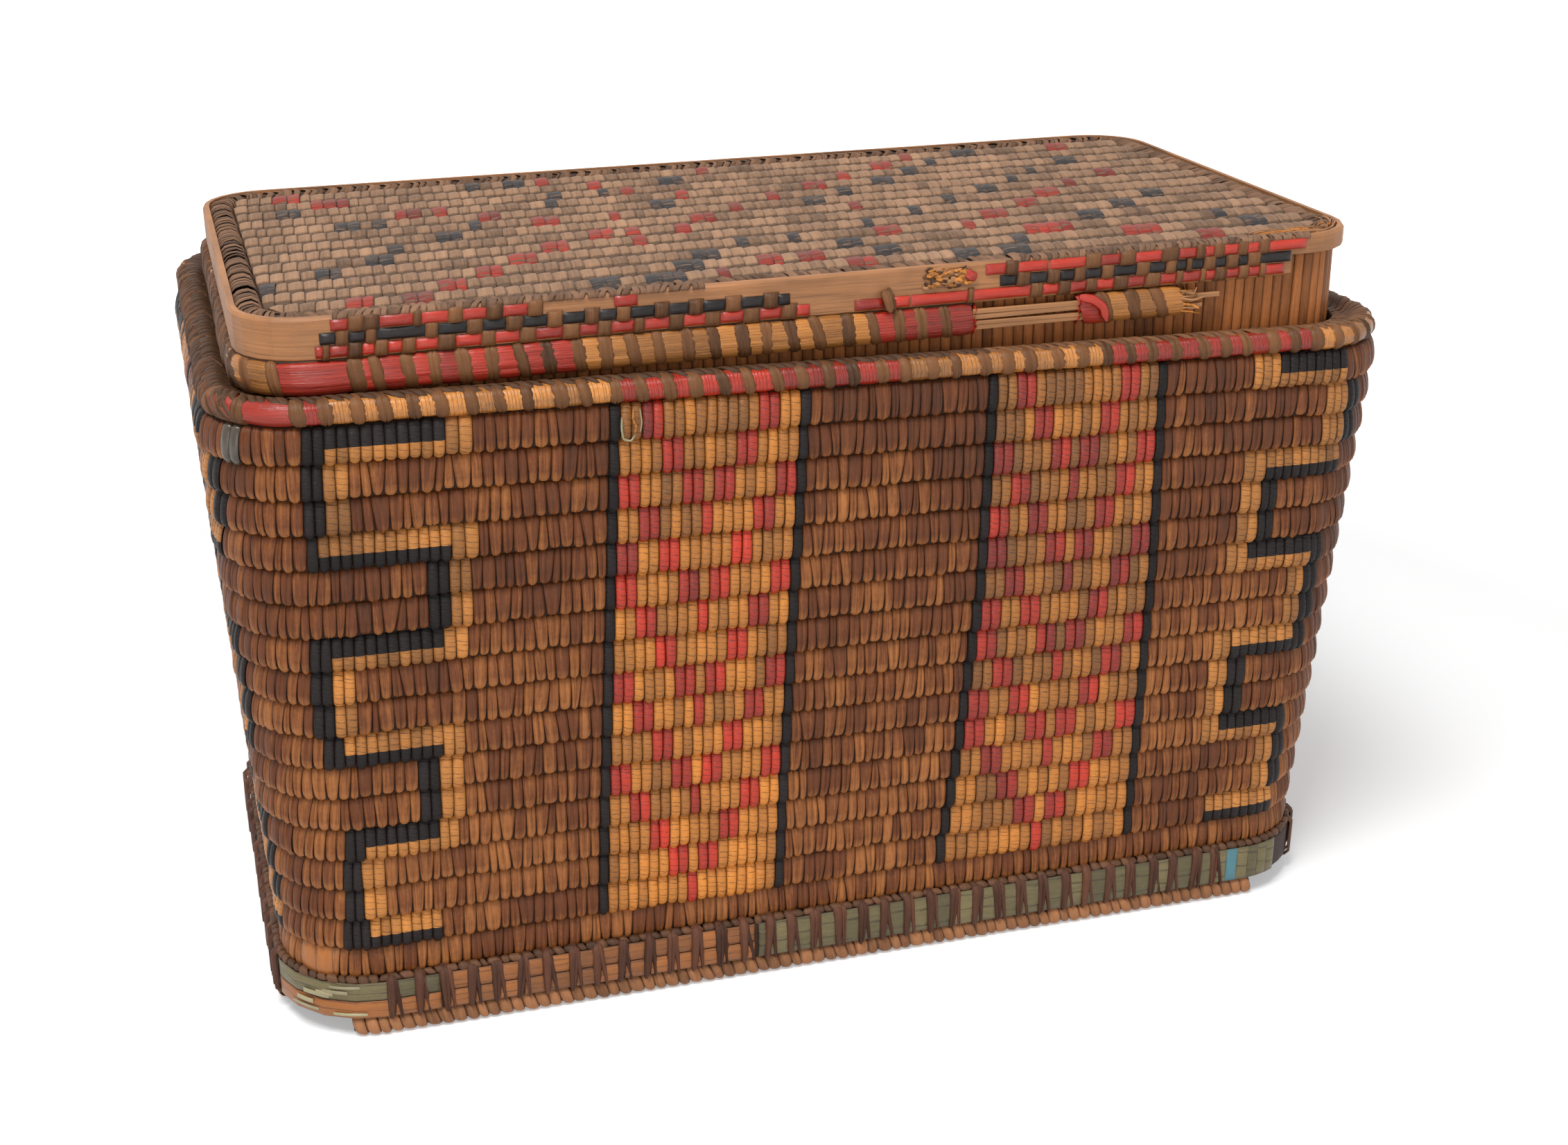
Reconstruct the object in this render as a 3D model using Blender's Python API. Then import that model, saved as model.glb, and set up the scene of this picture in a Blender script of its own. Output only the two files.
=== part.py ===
"""Rectangular coiled basketry trunk with a lift-off lid.

Splint coils wrapped with root are laid one on another in rounded rectangles that lean outwards
to a beaded rim coil. Inside the rim a plaited shoulder turns in to an upright collar, and the
lid, a panel of straight coils with a bent slat round it, drops over that collar. The basket has
settled with age: its rim falls towards the right end, and the lid sits a little high there.
Units are metres, +Z is up, +X runs along the front and the front faces -Y.
"""

import math

import bmesh
import bpy

# Trunk wall
rim_width = 0.620
rim_depth = 0.334
wall_taper = 0.0343  # how much narrower and shallower the wall is at its foot
wall_radius = 0.048
course_count = 17
course_pitch = 0.0176
course_thickness = 0.0092
rim_fall = 0.003  # how far the right end of the rim lies below its middle
seam_gap = 0.0003

# Foot
foot_flare = 0.004
foot_band_height = 0.022
foot_band_thickness = 0.010
foot_coil_height = 0.0105
foot_coil_thickness = 0.009
foot_coil_left_wrap = 0.019  # how far the front coil runs into the left corner
foot_coil_right_wrap = 0.008
beading_height = 0.0165
beading_thickness = 0.001
beading_lift = 0.0015
beading_left_wrap = 0.040
beading_right_wrap = 0.026

# Rim and shoulder
rim_coil_height = 0.012
rim_coil_thickness = 0.013
rim_end_setback = 0.003  # how far the rim coil's ends lie in from the wall's
shoulder_thickness = 0.008
shoulder_step_down = 0.003

# Lid
lid_end_setback = 0.021  # how far the lid's ends lie in from the rim's
lid_side_setback = 0.0175
lid_corner_setback = 0.013  # how much tighter the lid's corners are than the rim's
lid_offset = -0.0005  # the collar and the lid sit a little to the left
lid_rise = 0.0036  # how far the right end of the lid stands above its middle
slat_height = 0.0202
slat_thickness = 0.0035
lid_coil_height = 0.016
lid_coil_proud = 0.003
panel_thickness = 0.009
border_width = 0.012
lid_row_count = 13
slat_break_height = 0.0105
slat_break_run = 0.066  # how far back along the right end the slat and its coil are gone

# Collar
collar_clearance = 0.0015
collar_thickness = 0.005
collar_height = 0.046
collar_seam = 0.0006  # between the collar and the shoulder's inner edge

# Lid beading strips and the broken coil
strip_height = 0.0056
strip_thickness = 0.0011
strip_edge = 0.0009
splint_height = 0.0108
splint_thickness = 0.0032
stub_height = 0.0155
stub_thickness = 0.0075

# Base panel
base_row_count = 9
base_thickness = 0.009

# Facets
corner_steps = 6
overrun = 0.004

# Sections, as shares of thickness and height. Across, 0 is the outer side and -1 the inner side.
course_section_shares = [
    (-1.0, 0.5),
    (-0.75, 1.0),
    (-0.3, 1.0),
    (-0.08, 0.72),
    (0.0, 0.36),
    (-0.1, 0.08),
    (-0.3, 0.0),
    (-0.75, 0.0),
]
coil_section_shares = [
    (-1.0, 0.5),
    (-0.86, 0.86),
    (-0.6, 1.0),
    (-0.35, 1.0),
    (-0.1, 0.84),
    (0.0, 0.5),
    (-0.1, 0.14),
    (-0.35, 0.0),
    (-0.6, 0.0),
    (-0.86, 0.14),
]
row_section_shares = [
    (-1.0, 0.5),
    (-0.93, 0.82),
    (-0.72, 1.0),
    (-0.28, 1.0),
    (-0.07, 0.82),
    (0.0, 0.5),
    (-0.1, 0.0),
    (-0.9, 0.0),
]
band_section_shares = [(-1.0, 0.0), (-1.0, 1.0), (-0.55, 1.0), (0.0, 0.84), (0.0, 0.0)]
slat_section_shares = [(-1.0, 0.0), (-1.0, 1.0), (-0.3, 1.0), (0.0, 0.93), (0.0, 0.05), (-0.25, 0.0)]
collar_section_shares = [(-1.0, 0.0), (-1.0, 0.94), (-0.7, 1.0), (-0.3, 1.0), (0.0, 0.94), (0.0, 0.0)]
strip_section_shares = [(-1.0, 0.0), (-1.0, 1.0), (-0.3, 1.0), (0.0, 0.85), (0.0, 0.15), (-0.3, 0.0)]

# Runs along the front, as shares of the straight front from its middle
lid_strip_shares = {
    "lid_strip_red_upper_left": (2, -0.5, -0.178),
    "lid_strip_red_upper_right": (2, 0.122, 0.5),
    "lid_strip_black_left": (1, -0.5, -0.046),
    "lid_strip_black_right": (1, 0.126, 0.484),
    "lid_strip_red_lower_left": (0, -0.5, -0.027),
    "lid_strip_red_lower_right": (0, 0.008, 0.478),
}
slat_break_share = 0.481
coil_break_share = 0.132
splint_end_share = 0.4
stub_shares = (0.247, 0.36)
beading_yellow_shares = (-0.441, -0.096)

# The split ends of the broken splints: run and height, as shares of the splints' own sizes
splint_outline_shares = [
    (0.0, 0.0),
    (0.62, 0.0),
    (0.66, 0.2),
    (0.86, 0.22),
    (0.9, 0.42),
    (0.97, 0.44),
    (1.0, 0.62),
    (0.93, 0.68),
    (0.96, 1.0),
    (0.0, 1.0),
]

# Each third course is a shade darker, and a weld closes only what lies this share of a seam apart
tone_step_share = 0.02
weld_share = 1 / 30

# Sizes that follow from the ones above
lid_width = rim_width - 2 * lid_end_setback
lid_depth = rim_depth - 2 * lid_side_setback
lid_radius = wall_radius - lid_corner_setback
wall_height = course_count * course_pitch
foot_height = foot_coil_height + foot_band_height
wall_base_width = rim_width - wall_taper
wall_base_depth = rim_depth - wall_taper
foot_width = wall_base_width + 2 * foot_flare
foot_depth = wall_base_depth + 2 * foot_flare
foot_radius = wall_radius + foot_flare
rim_level = foot_height + wall_height
rim_coil_width = rim_width - 2 * rim_end_setback
rim_angle = math.atan2(rim_fall, rim_width / 2)
course_height = course_pitch * (1 - rim_fall / wall_height) - seam_gap
shoulder_level = rim_level + rim_coil_height - shoulder_step_down
lid_angle = math.atan2(lid_rise, lid_width / 2)
lid_coil_thickness = slat_thickness + lid_coil_proud
lid_reach = lid_width / 2 + lid_coil_proud
lid_seat = shoulder_level + (lid_reach - lid_offset) * math.tan(rim_angle) + lid_reach * math.sin(lid_angle)
lid_seat += 2 * seam_gap
slat_level = lid_coil_height + seam_gap
lid_top = slat_level + slat_height
panel_level = lid_top - panel_thickness
collar_inset = slat_thickness + collar_clearance
collar_width = lid_width - 2 * collar_inset
collar_depth = lid_depth - 2 * collar_inset
collar_radius = lid_radius - collar_inset
lid_front_run = lid_width - 2 * lid_radius
foot_front_run = foot_width - 2 * foot_radius


def colour(name, rgb, roughness):
    """A plain material with the piece's own colour and roughness."""
    material = bpy.data.materials.new(name)
    material.use_nodes = True
    shader = material.node_tree.nodes["Principled BSDF"]
    shader.inputs["Base Color"].default_value = (*rgb, 1)
    shader.inputs["Roughness"].default_value = roughness
    shader.inputs["Metallic"].default_value = 0
    material.diffuse_color = (*rgb, 1)
    return material


def finish_piece(piece, parent, rgb, roughness=0.6):
    piece.parent = parent
    piece.data.materials.append(colour(piece.name, rgb, roughness))


def corner_points(width, depth, radius):
    """The points of a rounded rectangle's corners, anticlockwise from the front right one."""
    points = []
    corners = [(1, -1, -90), (1, 1, 0), (-1, 1, 90), (-1, -1, 180)]
    for side_x, side_y, first in corners:
        centre_x = side_x * (width / 2 - radius)
        centre_y = side_y * (depth / 2 - radius)
        for step in range(corner_steps + 1):
            angle = math.radians(first + 90 * step / corner_steps)
            points.append((centre_x + radius * math.cos(angle), centre_y + radius * math.sin(angle), 0))
    return points


def corner_run(radius):
    """The length of a rounded corner, along its facets."""
    return 2 * radius * corner_steps * math.sin(math.pi / (4 * corner_steps))


def point_at(width, depth, radius, run):
    """The point of a rounded rectangle this far along it, anticlockwise from its front's middle."""
    points = corner_points(width, depth, radius)
    loop = [(0, -depth / 2, 0), *points, (0, -depth / 2, 0)]
    left = run % sum(math.dist(a, b) for a, b in zip(loop, loop[1:]))
    for start, end in zip(loop, loop[1:]):
        length = math.dist(start, end)
        if left <= length:
            share = left / length
            return tuple(a + (b - a) * share for a, b in zip(start, end))
        left -= length
    return loop[-1]


def stretch(width, depth, radius, start, end):
    """The points of a rounded rectangle from one run along it to another."""
    points = corner_points(width, depth, radius)
    loop = [(0, -depth / 2, 0), *points]
    runs = [0]
    for a, b in zip(loop, loop[1:]):
        runs.append(runs[-1] + math.dist(a, b))
    whole = runs[-1] + math.dist(loop[-1], loop[0])
    marks = [(run + turn * whole, point) for turn in (-1, 0, 1) for run, point in zip(runs[1:], points)]
    between = [point for run, point in marks if start + seam_gap < run < end - seam_gap]
    first = point_at(width, depth, radius, start)
    last = point_at(width, depth, radius, end)
    return [first, *between, last]


def section_curve(name, shares, thickness, height):
    """A guide curve that holds a coil's section."""
    data = bpy.data.curves.new(name, "CURVE")
    data.dimensions = "2D"
    spline = data.splines.new("POLY")
    spline.points.add(len(shares) - 1)
    for point, (across, up) in zip(spline.points, shares):
        point.co = (across * thickness, up * height, 0, 1)
    spline.use_cyclic_u = True
    guide = bpy.data.objects.new(name, data)
    guide.hide_render = True
    guide.display_type = "WIRE"
    guides.objects.link(guide)
    return guide


def sweep(name, points, section, closed):
    """A section carried along a path: a ring where the path closes, else a bar with flat ends."""
    data = bpy.data.curves.new(name, "CURVE")
    data.dimensions = "3D"
    data.twist_mode = "Z_UP"
    spline = data.splines.new("POLY")
    spline.points.add(len(points) - 1)
    for point, place in zip(spline.points, points):
        point.co = (*place, 1)
    spline.use_cyclic_u = closed
    data.bevel_mode = "OBJECT"
    data.bevel_object = section
    data.use_fill_caps = not closed
    piece = bpy.data.objects.new(name, data)
    trunk.objects.link(piece)
    return piece


def ring(name, width, depth, radius, section):
    return sweep(name, corner_points(width, depth, radius), section, True)


def as_mesh(piece):
    """The piece with its curve turned into a welded mesh, so that it can be cut."""
    name = piece.name
    bpy.context.view_layer.update()
    graph = bpy.context.evaluated_depsgraph_get()
    mesh = bpy.data.meshes.new_from_object(piece.evaluated_get(graph))
    weld(mesh)
    piece.name = name + "_curve"
    made = bpy.data.objects.new(name, mesh)
    made.matrix_world = piece.matrix_world
    made.rotation_euler = piece.rotation_euler
    trunk.objects.link(made)
    bpy.data.objects.remove(piece)
    return made


def weld(mesh):
    shell = bmesh.new()
    shell.from_mesh(mesh)
    bmesh.ops.remove_doubles(shell, verts=shell.verts, dist=seam_gap * weld_share)
    shell.to_mesh(mesh)
    shell.free()


def outline_data(name, loops, thickness):
    """A flat outline, with any holes, as thick as given and lying in XY."""
    data = bpy.data.curves.new(name, "CURVE")
    data.dimensions = "2D"
    data.fill_mode = "BOTH"
    data.extrude = thickness / 2
    for points in loops:
        spline = data.splines.new("POLY")
        spline.points.add(len(points) - 1)
        for point, place in zip(spline.points, points):
            point.co = (place[0], place[1], 0, 1)
        spline.use_cyclic_u = True
    return data


def cutter_box(name, low, high, parent):
    """A box that cuts, given by its two corners in the parent's own space."""
    bpy.ops.mesh.primitive_cube_add(size=1)
    cutter = bpy.context.object
    cutter.name = name
    for collection in list(cutter.users_collection):
        collection.objects.unlink(cutter)
    guides.objects.link(cutter)
    cutter.scale = [b - a for a, b in zip(low, high)]
    cutter.location = [(a + b) / 2 for a, b in zip(low, high)]
    cutter.parent = parent
    cutter.hide_render = True
    cutter.display_type = "WIRE"
    return cutter


def cut(piece, cutter, operation="DIFFERENCE"):
    modifier = piece.modifiers.new(operation.lower() + "_" + cutter.name, "BOOLEAN")
    modifier.operation = operation
    modifier.object = cutter


def empty(name, location=(0, 0, 0), tilt=0.0):
    holder = bpy.data.objects.new(name, None)
    holder.location = location
    holder.rotation_euler.y = tilt
    trunk.objects.link(holder)
    return holder


def wall_share(level):
    """How far up the wall a level is, from 0 at the foot to 1 under the rim coil."""
    return (level - foot_height) / wall_height


def build_wall():
    """The courses of the wall, the first at the rim and the last on the foot."""
    section = section_curve("course_section", course_section_shares, course_thickness, course_height)
    for course in range(1, course_count + 1):
        level = rim_level - course * course_pitch + (course_pitch - course_height) / 2
        share = wall_share(level + course_height / 2)
        narrower = wall_taper * (1 - share)
        name = f"wall_course_{course:02d}"
        piece = ring(name, rim_width - narrower, rim_depth - narrower, wall_radius, section)
        piece.location.z = level
        piece.rotation_euler.y = rim_angle * share
        tone = tone_step_share * (course % 3)
        finish_piece(piece, body, (0.30 + tone, 0.145 + tone / 2, 0.065))


def build_rim():
    """The beaded coil round the top of the wall, and the plaited shoulder inside it."""
    height = rim_coil_height - seam_gap
    section = section_curve("rim_section", coil_section_shares, rim_coil_thickness, height)
    rim = ring("rim_coil", rim_coil_width, rim_depth, wall_radius, section)
    rim.location.z = rim_level + seam_gap / 2
    rim.rotation_euler.y = rim_angle
    finish_piece(rim, body, (0.42, 0.20, 0.09))

    inset = 2 * (rim_coil_thickness + seam_gap)
    outer = corner_points(rim_coil_width - inset, rim_depth - inset, wall_radius - inset / 2)
    room = 2 * collar_seam
    inner = corner_points(collar_width + room, collar_depth + room, collar_radius + collar_seam)
    inner = [(x + lid_offset, y, z) for x, y, z in inner]
    data = outline_data("shoulder_braid", [outer, inner], shoulder_thickness)
    shoulder = bpy.data.objects.new("shoulder_braid", data)
    trunk.objects.link(shoulder)
    shoulder.location.z = shoulder_level - shoulder_thickness / 2
    shoulder.rotation_euler.y = rim_angle
    finish_piece(shoulder, body, (0.36, 0.21, 0.11))


def build_collar():
    """The upright band that the lid drops over. It lies parallel to the lid."""
    section = section_curve("collar_section", collar_section_shares, collar_thickness, collar_height)
    collar = ring("collar", collar_width, collar_depth, collar_radius, section)
    collar.location.z = panel_level - seam_gap - collar_height
    finish_piece(collar, collar_frame, (0.40, 0.24, 0.12))


def build_base():
    """The base panel: straight coils laid side by side inside the lowest course."""
    inset = 2 * (course_thickness + seam_gap)
    lowest = wall_taper * (1 - 0.5 / course_count)
    width = rim_width - lowest - inset
    depth = rim_depth - lowest - inset
    plan = (width, depth, wall_radius - inset / 2)
    rows("base_row", base_row_count, plan, base_thickness, body, (0.33, 0.17, 0.08), foot_height + seam_gap)


def rows(stem, count, plan, thickness, parent, rgb, level):
    """Straight coils side by side, cut to the rounded rectangle that holds them."""
    width, depth, radius = plan
    pitch = depth / count
    section = section_curve(stem + "_section", row_section_shares, pitch - seam_gap, thickness)
    cutter_points = corner_points(width, depth, radius)
    cutter_data = outline_data(stem + "_plan", [cutter_points], thickness + 2 * overrun)
    cutter_curve = bpy.data.objects.new(stem + "_plan", cutter_data)
    trunk.objects.link(cutter_curve)
    cutter = as_mesh(cutter_curve)
    trunk.objects.unlink(cutter)
    guides.objects.link(cutter)
    cutter.hide_render = True
    cutter.display_type = "WIRE"
    cutter.location.z = level + thickness / 2
    cutter.parent = parent
    for number in range(1, count + 1):
        front = -depth / 2 + (number - 1) * pitch + seam_gap / 2
        half = width / 2 + overrun
        path = [(-half, front, 0), (half, front, 0)]
        piece = as_mesh(sweep(f"{stem}_{number:02d}", path, section, False))
        piece.location.z = level
        cut(piece, cutter, "INTERSECT")
        finish_piece(piece, parent, rgb)


def build_foot():
    """The slat band, the coil under it, and the grass beading on the band's front."""
    band_height = foot_band_height - 2 * seam_gap
    section = section_curve("foot_band_section", band_section_shares, foot_band_thickness, band_height)
    band = ring("foot_band", foot_width, foot_depth, foot_radius, section)
    band_level = foot_coil_height + seam_gap
    band.location.z = band_level
    finish_piece(band, body, (0.33, 0.18, 0.09))

    section = section_curve("foot_coil_section", coil_section_shares, foot_coil_thickness, foot_coil_height)
    half = foot_front_run / 2
    front_path = stretch(
        foot_width, foot_depth, foot_radius, -half - foot_coil_left_wrap, half + foot_coil_right_wrap
    )
    front = sweep("foot_coil_front", front_path, section, False)
    finish_piece(front, body, (0.36, 0.20, 0.10))
    corner = corner_run(foot_radius)
    side = foot_depth - 2 * foot_radius
    start = half + corner
    end = start + 2 * (side + corner) + foot_front_run
    rest_path = stretch(foot_width, foot_depth, foot_radius, start, end)
    rest = sweep("foot_coil_ends", rest_path, section, False)
    finish_piece(rest, body, (0.36, 0.20, 0.10))

    section = section_curve("beading_section", strip_section_shares, beading_thickness, beading_height)
    out = seam_gap + beading_thickness
    plan = (foot_width + 2 * out, foot_depth + 2 * out, foot_radius + out)
    yellow_start, yellow_end = (share * foot_front_run for share in beading_yellow_shares)
    runs = {
        "foot_beading_left": (-half - beading_left_wrap, yellow_start - seam_gap, (0.28, 0.27, 0.15)),
        "foot_beading_middle": (yellow_start, yellow_end, (0.62, 0.38, 0.13)),
        "foot_beading_right": (yellow_end + seam_gap, half + beading_right_wrap, (0.26, 0.27, 0.16)),
    }
    for name, (start, end, rgb) in runs.items():
        piece = sweep(name, stretch(*plan, start, end), section, False)
        piece.location.z = band_level + beading_lift
        finish_piece(piece, body, rgb)


def build_lid_panel():
    """The border coil and the straight coils that fill it."""
    border_outset = 2 * (slat_thickness + seam_gap)
    section = section_curve("border_section", coil_section_shares, border_width, panel_thickness)
    border = ring(
        "lid_border_coil",
        lid_width - border_outset,
        lid_depth - border_outset,
        lid_radius - border_outset / 2,
        section,
    )
    border.location.z = panel_level
    finish_piece(border, lid, (0.24, 0.14, 0.08))
    inset = border_outset + 2 * (border_width + seam_gap)
    plan = (lid_width - inset, lid_depth - inset, lid_radius - inset / 2)
    rows("lid_row", lid_row_count, plan, panel_thickness, lid, (0.34, 0.22, 0.14), panel_level)


def build_lid_skirt():
    """The bent slat, broken at the right corner, and the beading strips laid on its front."""
    section = section_curve("slat_section", slat_section_shares, slat_thickness, slat_height)
    slat = as_mesh(ring("lid_skirt_slat", lid_width, lid_depth, lid_radius, section))
    slat.location.z = slat_level
    front = -lid_depth / 2 - overrun
    back = -lid_depth / 2 + lid_radius + slat_break_run
    low = (slat_break_share * lid_front_run, front, slat_level - overrun)
    high = (lid_width / 2 + overrun, back, slat_level + slat_break_height)
    cut(slat, cutter_box("slat_break", low, high, lid))
    finish_piece(slat, lid, (0.50, 0.33, 0.19), 0.5)

    section = section_curve("strip_section", strip_section_shares, strip_thickness, strip_height)
    out = seam_gap + strip_thickness
    plan = (lid_width + 2 * out, lid_depth + 2 * out, lid_radius + out)
    pitch = (slat_height - 2 * strip_edge) / 3
    for name, (tier, start, end) in lid_strip_shares.items():
        path = stretch(*plan, start * lid_front_run, end * lid_front_run)
        strip = sweep(name, path, section, False)
        strip.location.z = slat_level + strip_edge + tier * pitch + (pitch - strip_height) / 2
        rgb = (0.05, 0.05, 0.06) if "black" in name else (0.50, 0.08, 0.07)
        finish_piece(strip, lid, rgb, 0.4)


def build_lid_coil():
    """The coil along the lid's lower edge, its bare splints where it has broken, and a wrapped stub."""
    section = section_curve("lid_coil_section", coil_section_shares, lid_coil_thickness, lid_coil_height)
    plan = (lid_width + 2 * lid_coil_proud, lid_depth + 2 * lid_coil_proud, lid_radius + lid_coil_proud)
    corner = corner_run(plan[2])
    side = plan[1] - 2 * plan[2]
    start = lid_front_run / 2 + corner + slat_break_run
    around = 2 * (side + lid_front_run) + 4 * corner
    coil_end = coil_break_share * lid_front_run
    coil = sweep("lid_rim_coil", stretch(*plan, start, around + coil_end), section, False)
    finish_piece(coil, lid, (0.45, 0.18, 0.10), 0.5)

    splint_start = coil_end + seam_gap
    splint_run = splint_end_share * lid_front_run - splint_start
    points = [(splint_start + x * splint_run, z * splint_height) for x, z in splint_outline_shares]
    data = outline_data("lid_rim_splints", [points], splint_thickness)
    splints = bpy.data.objects.new("lid_rim_splints", data)
    trunk.objects.link(splints)
    middle = -lid_depth / 2 + slat_thickness - lid_coil_thickness / 2
    splints.rotation_euler.x = math.pi / 2
    splints.location = (0, middle, (lid_coil_height - splint_height) / 2)
    finish_piece(splints, lid, (0.58, 0.38, 0.20), 0.5)

    section = section_curve("stub_section", coil_section_shares, stub_thickness, stub_height)
    outer = middle - stub_thickness / 2
    path = [(share * lid_front_run, outer, (lid_coil_height - stub_height) / 2) for share in stub_shares]
    stub = as_mesh(sweep("lid_rim_stub", path, section, False))
    low_z = (lid_coil_height - splint_height) / 2 - seam_gap
    low = (path[0][0] - overrun, middle - splint_thickness / 2 - seam_gap, low_z)
    high_z = low_z + splint_height + 2 * seam_gap
    high = (path[1][0] + overrun, middle + splint_thickness / 2 + seam_gap, high_z)
    cut(stub, cutter_box("stub_bore", low, high, lid))
    finish_piece(stub, lid, (0.45, 0.25, 0.12), 0.5)


for old in list(bpy.data.objects):
    bpy.data.objects.remove(old)
trunk = bpy.data.collections.new("basketry_trunk")
guides = bpy.data.collections.new("guides_and_cutters")
bpy.context.scene.collection.children.link(trunk)
bpy.context.scene.collection.children.link(guides)
body = empty("trunk_body")
lid = empty("lid_lift", (lid_offset, 0, lid_seat), -lid_angle)
collar_frame = empty("collar_frame", (lid_offset, 0, lid_seat), -lid_angle)
build_foot()
build_base()
build_wall()
build_rim()
build_collar()
build_lid_panel()
build_lid_skirt()
build_lid_coil()
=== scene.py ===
import math
from collections import namedtuple
from functools import partial

import bpy
import numpy as np
from bpy.props import FloatProperty, FloatVectorProperty, PointerProperty
from mathutils import Matrix, Vector


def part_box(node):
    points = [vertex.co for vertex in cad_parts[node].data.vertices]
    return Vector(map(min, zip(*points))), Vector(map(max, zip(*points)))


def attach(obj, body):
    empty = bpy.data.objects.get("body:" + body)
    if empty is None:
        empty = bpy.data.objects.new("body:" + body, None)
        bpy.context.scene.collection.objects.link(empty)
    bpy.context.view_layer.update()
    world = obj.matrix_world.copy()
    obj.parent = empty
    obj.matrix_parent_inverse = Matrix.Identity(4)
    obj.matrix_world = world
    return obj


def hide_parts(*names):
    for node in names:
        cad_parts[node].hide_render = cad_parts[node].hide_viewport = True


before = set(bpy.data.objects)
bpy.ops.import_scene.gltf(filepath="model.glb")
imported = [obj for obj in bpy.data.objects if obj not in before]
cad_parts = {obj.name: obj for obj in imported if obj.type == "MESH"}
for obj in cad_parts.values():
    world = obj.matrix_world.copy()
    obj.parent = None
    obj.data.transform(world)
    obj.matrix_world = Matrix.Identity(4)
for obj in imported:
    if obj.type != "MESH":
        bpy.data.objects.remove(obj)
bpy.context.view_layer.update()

bl_info = {
    "name": "Basketry trunk",
    "version": (1, 0, 0),
    "blender": (4, 5, 0),
    "location": "View3D > Sidebar > Basket",
    "description": "Sews a coiled basketry trunk over its frame, stitch by stitch",
    "category": "Object",
}

# Finishes, in the order of a mesh's material numbers
(
    ROOT, CORE, GOLD, RED, BLACK, TAN, RIM_ROOT, LID_ROOT, BORDER, COLLAR, BEAD_RED, BEAD_GOLD, SLAT, SPLINT,
    GREEN, FOOT_ROOT, FOOT_COIL, PLAIT, RESIN, STRIP_RED, STRIP_BLACK, GRASS_GOLD, PALE_GRASS, TURQUOISE,
    ROPE, WOUND_RED, WOUND_GOLD, LID_RED, LID_BLACK,
) = range(29)

# Kinds of stitch on the wall: a straw that is one colour over all its height, or one colour over another
UPPER = {
    "n": ROOT, "g": GOLD, "r": RED, "k": BLACK, "t": TAN, "u": BLACK, "v": TAN, "s": GRASS_GOLD, "z": RESIN,
}
LOWER = {**UPPER, "u": TAN, "v": BLACK}


def screen(red, green, blue):
    """A linear colour from the 0 to 255 of a screen."""
    shares = [value / 255 for value in (red, green, blue)]
    return tuple(s / 12.92 if s <= 0.04045 else ((s + 0.055) / 1.055) ** 2.4 for s in shares)


def length(name, description, default):
    return FloatProperty(
        name=name, description=description, default=default, min=0.0, unit="LENGTH", precision=4
    )


def colour(name, description, *values):
    return FloatVectorProperty(
        name=name, description=description, default=screen(*values), subtype="COLOR", size=3, min=0.0,
        max=1.0,
    )


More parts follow.
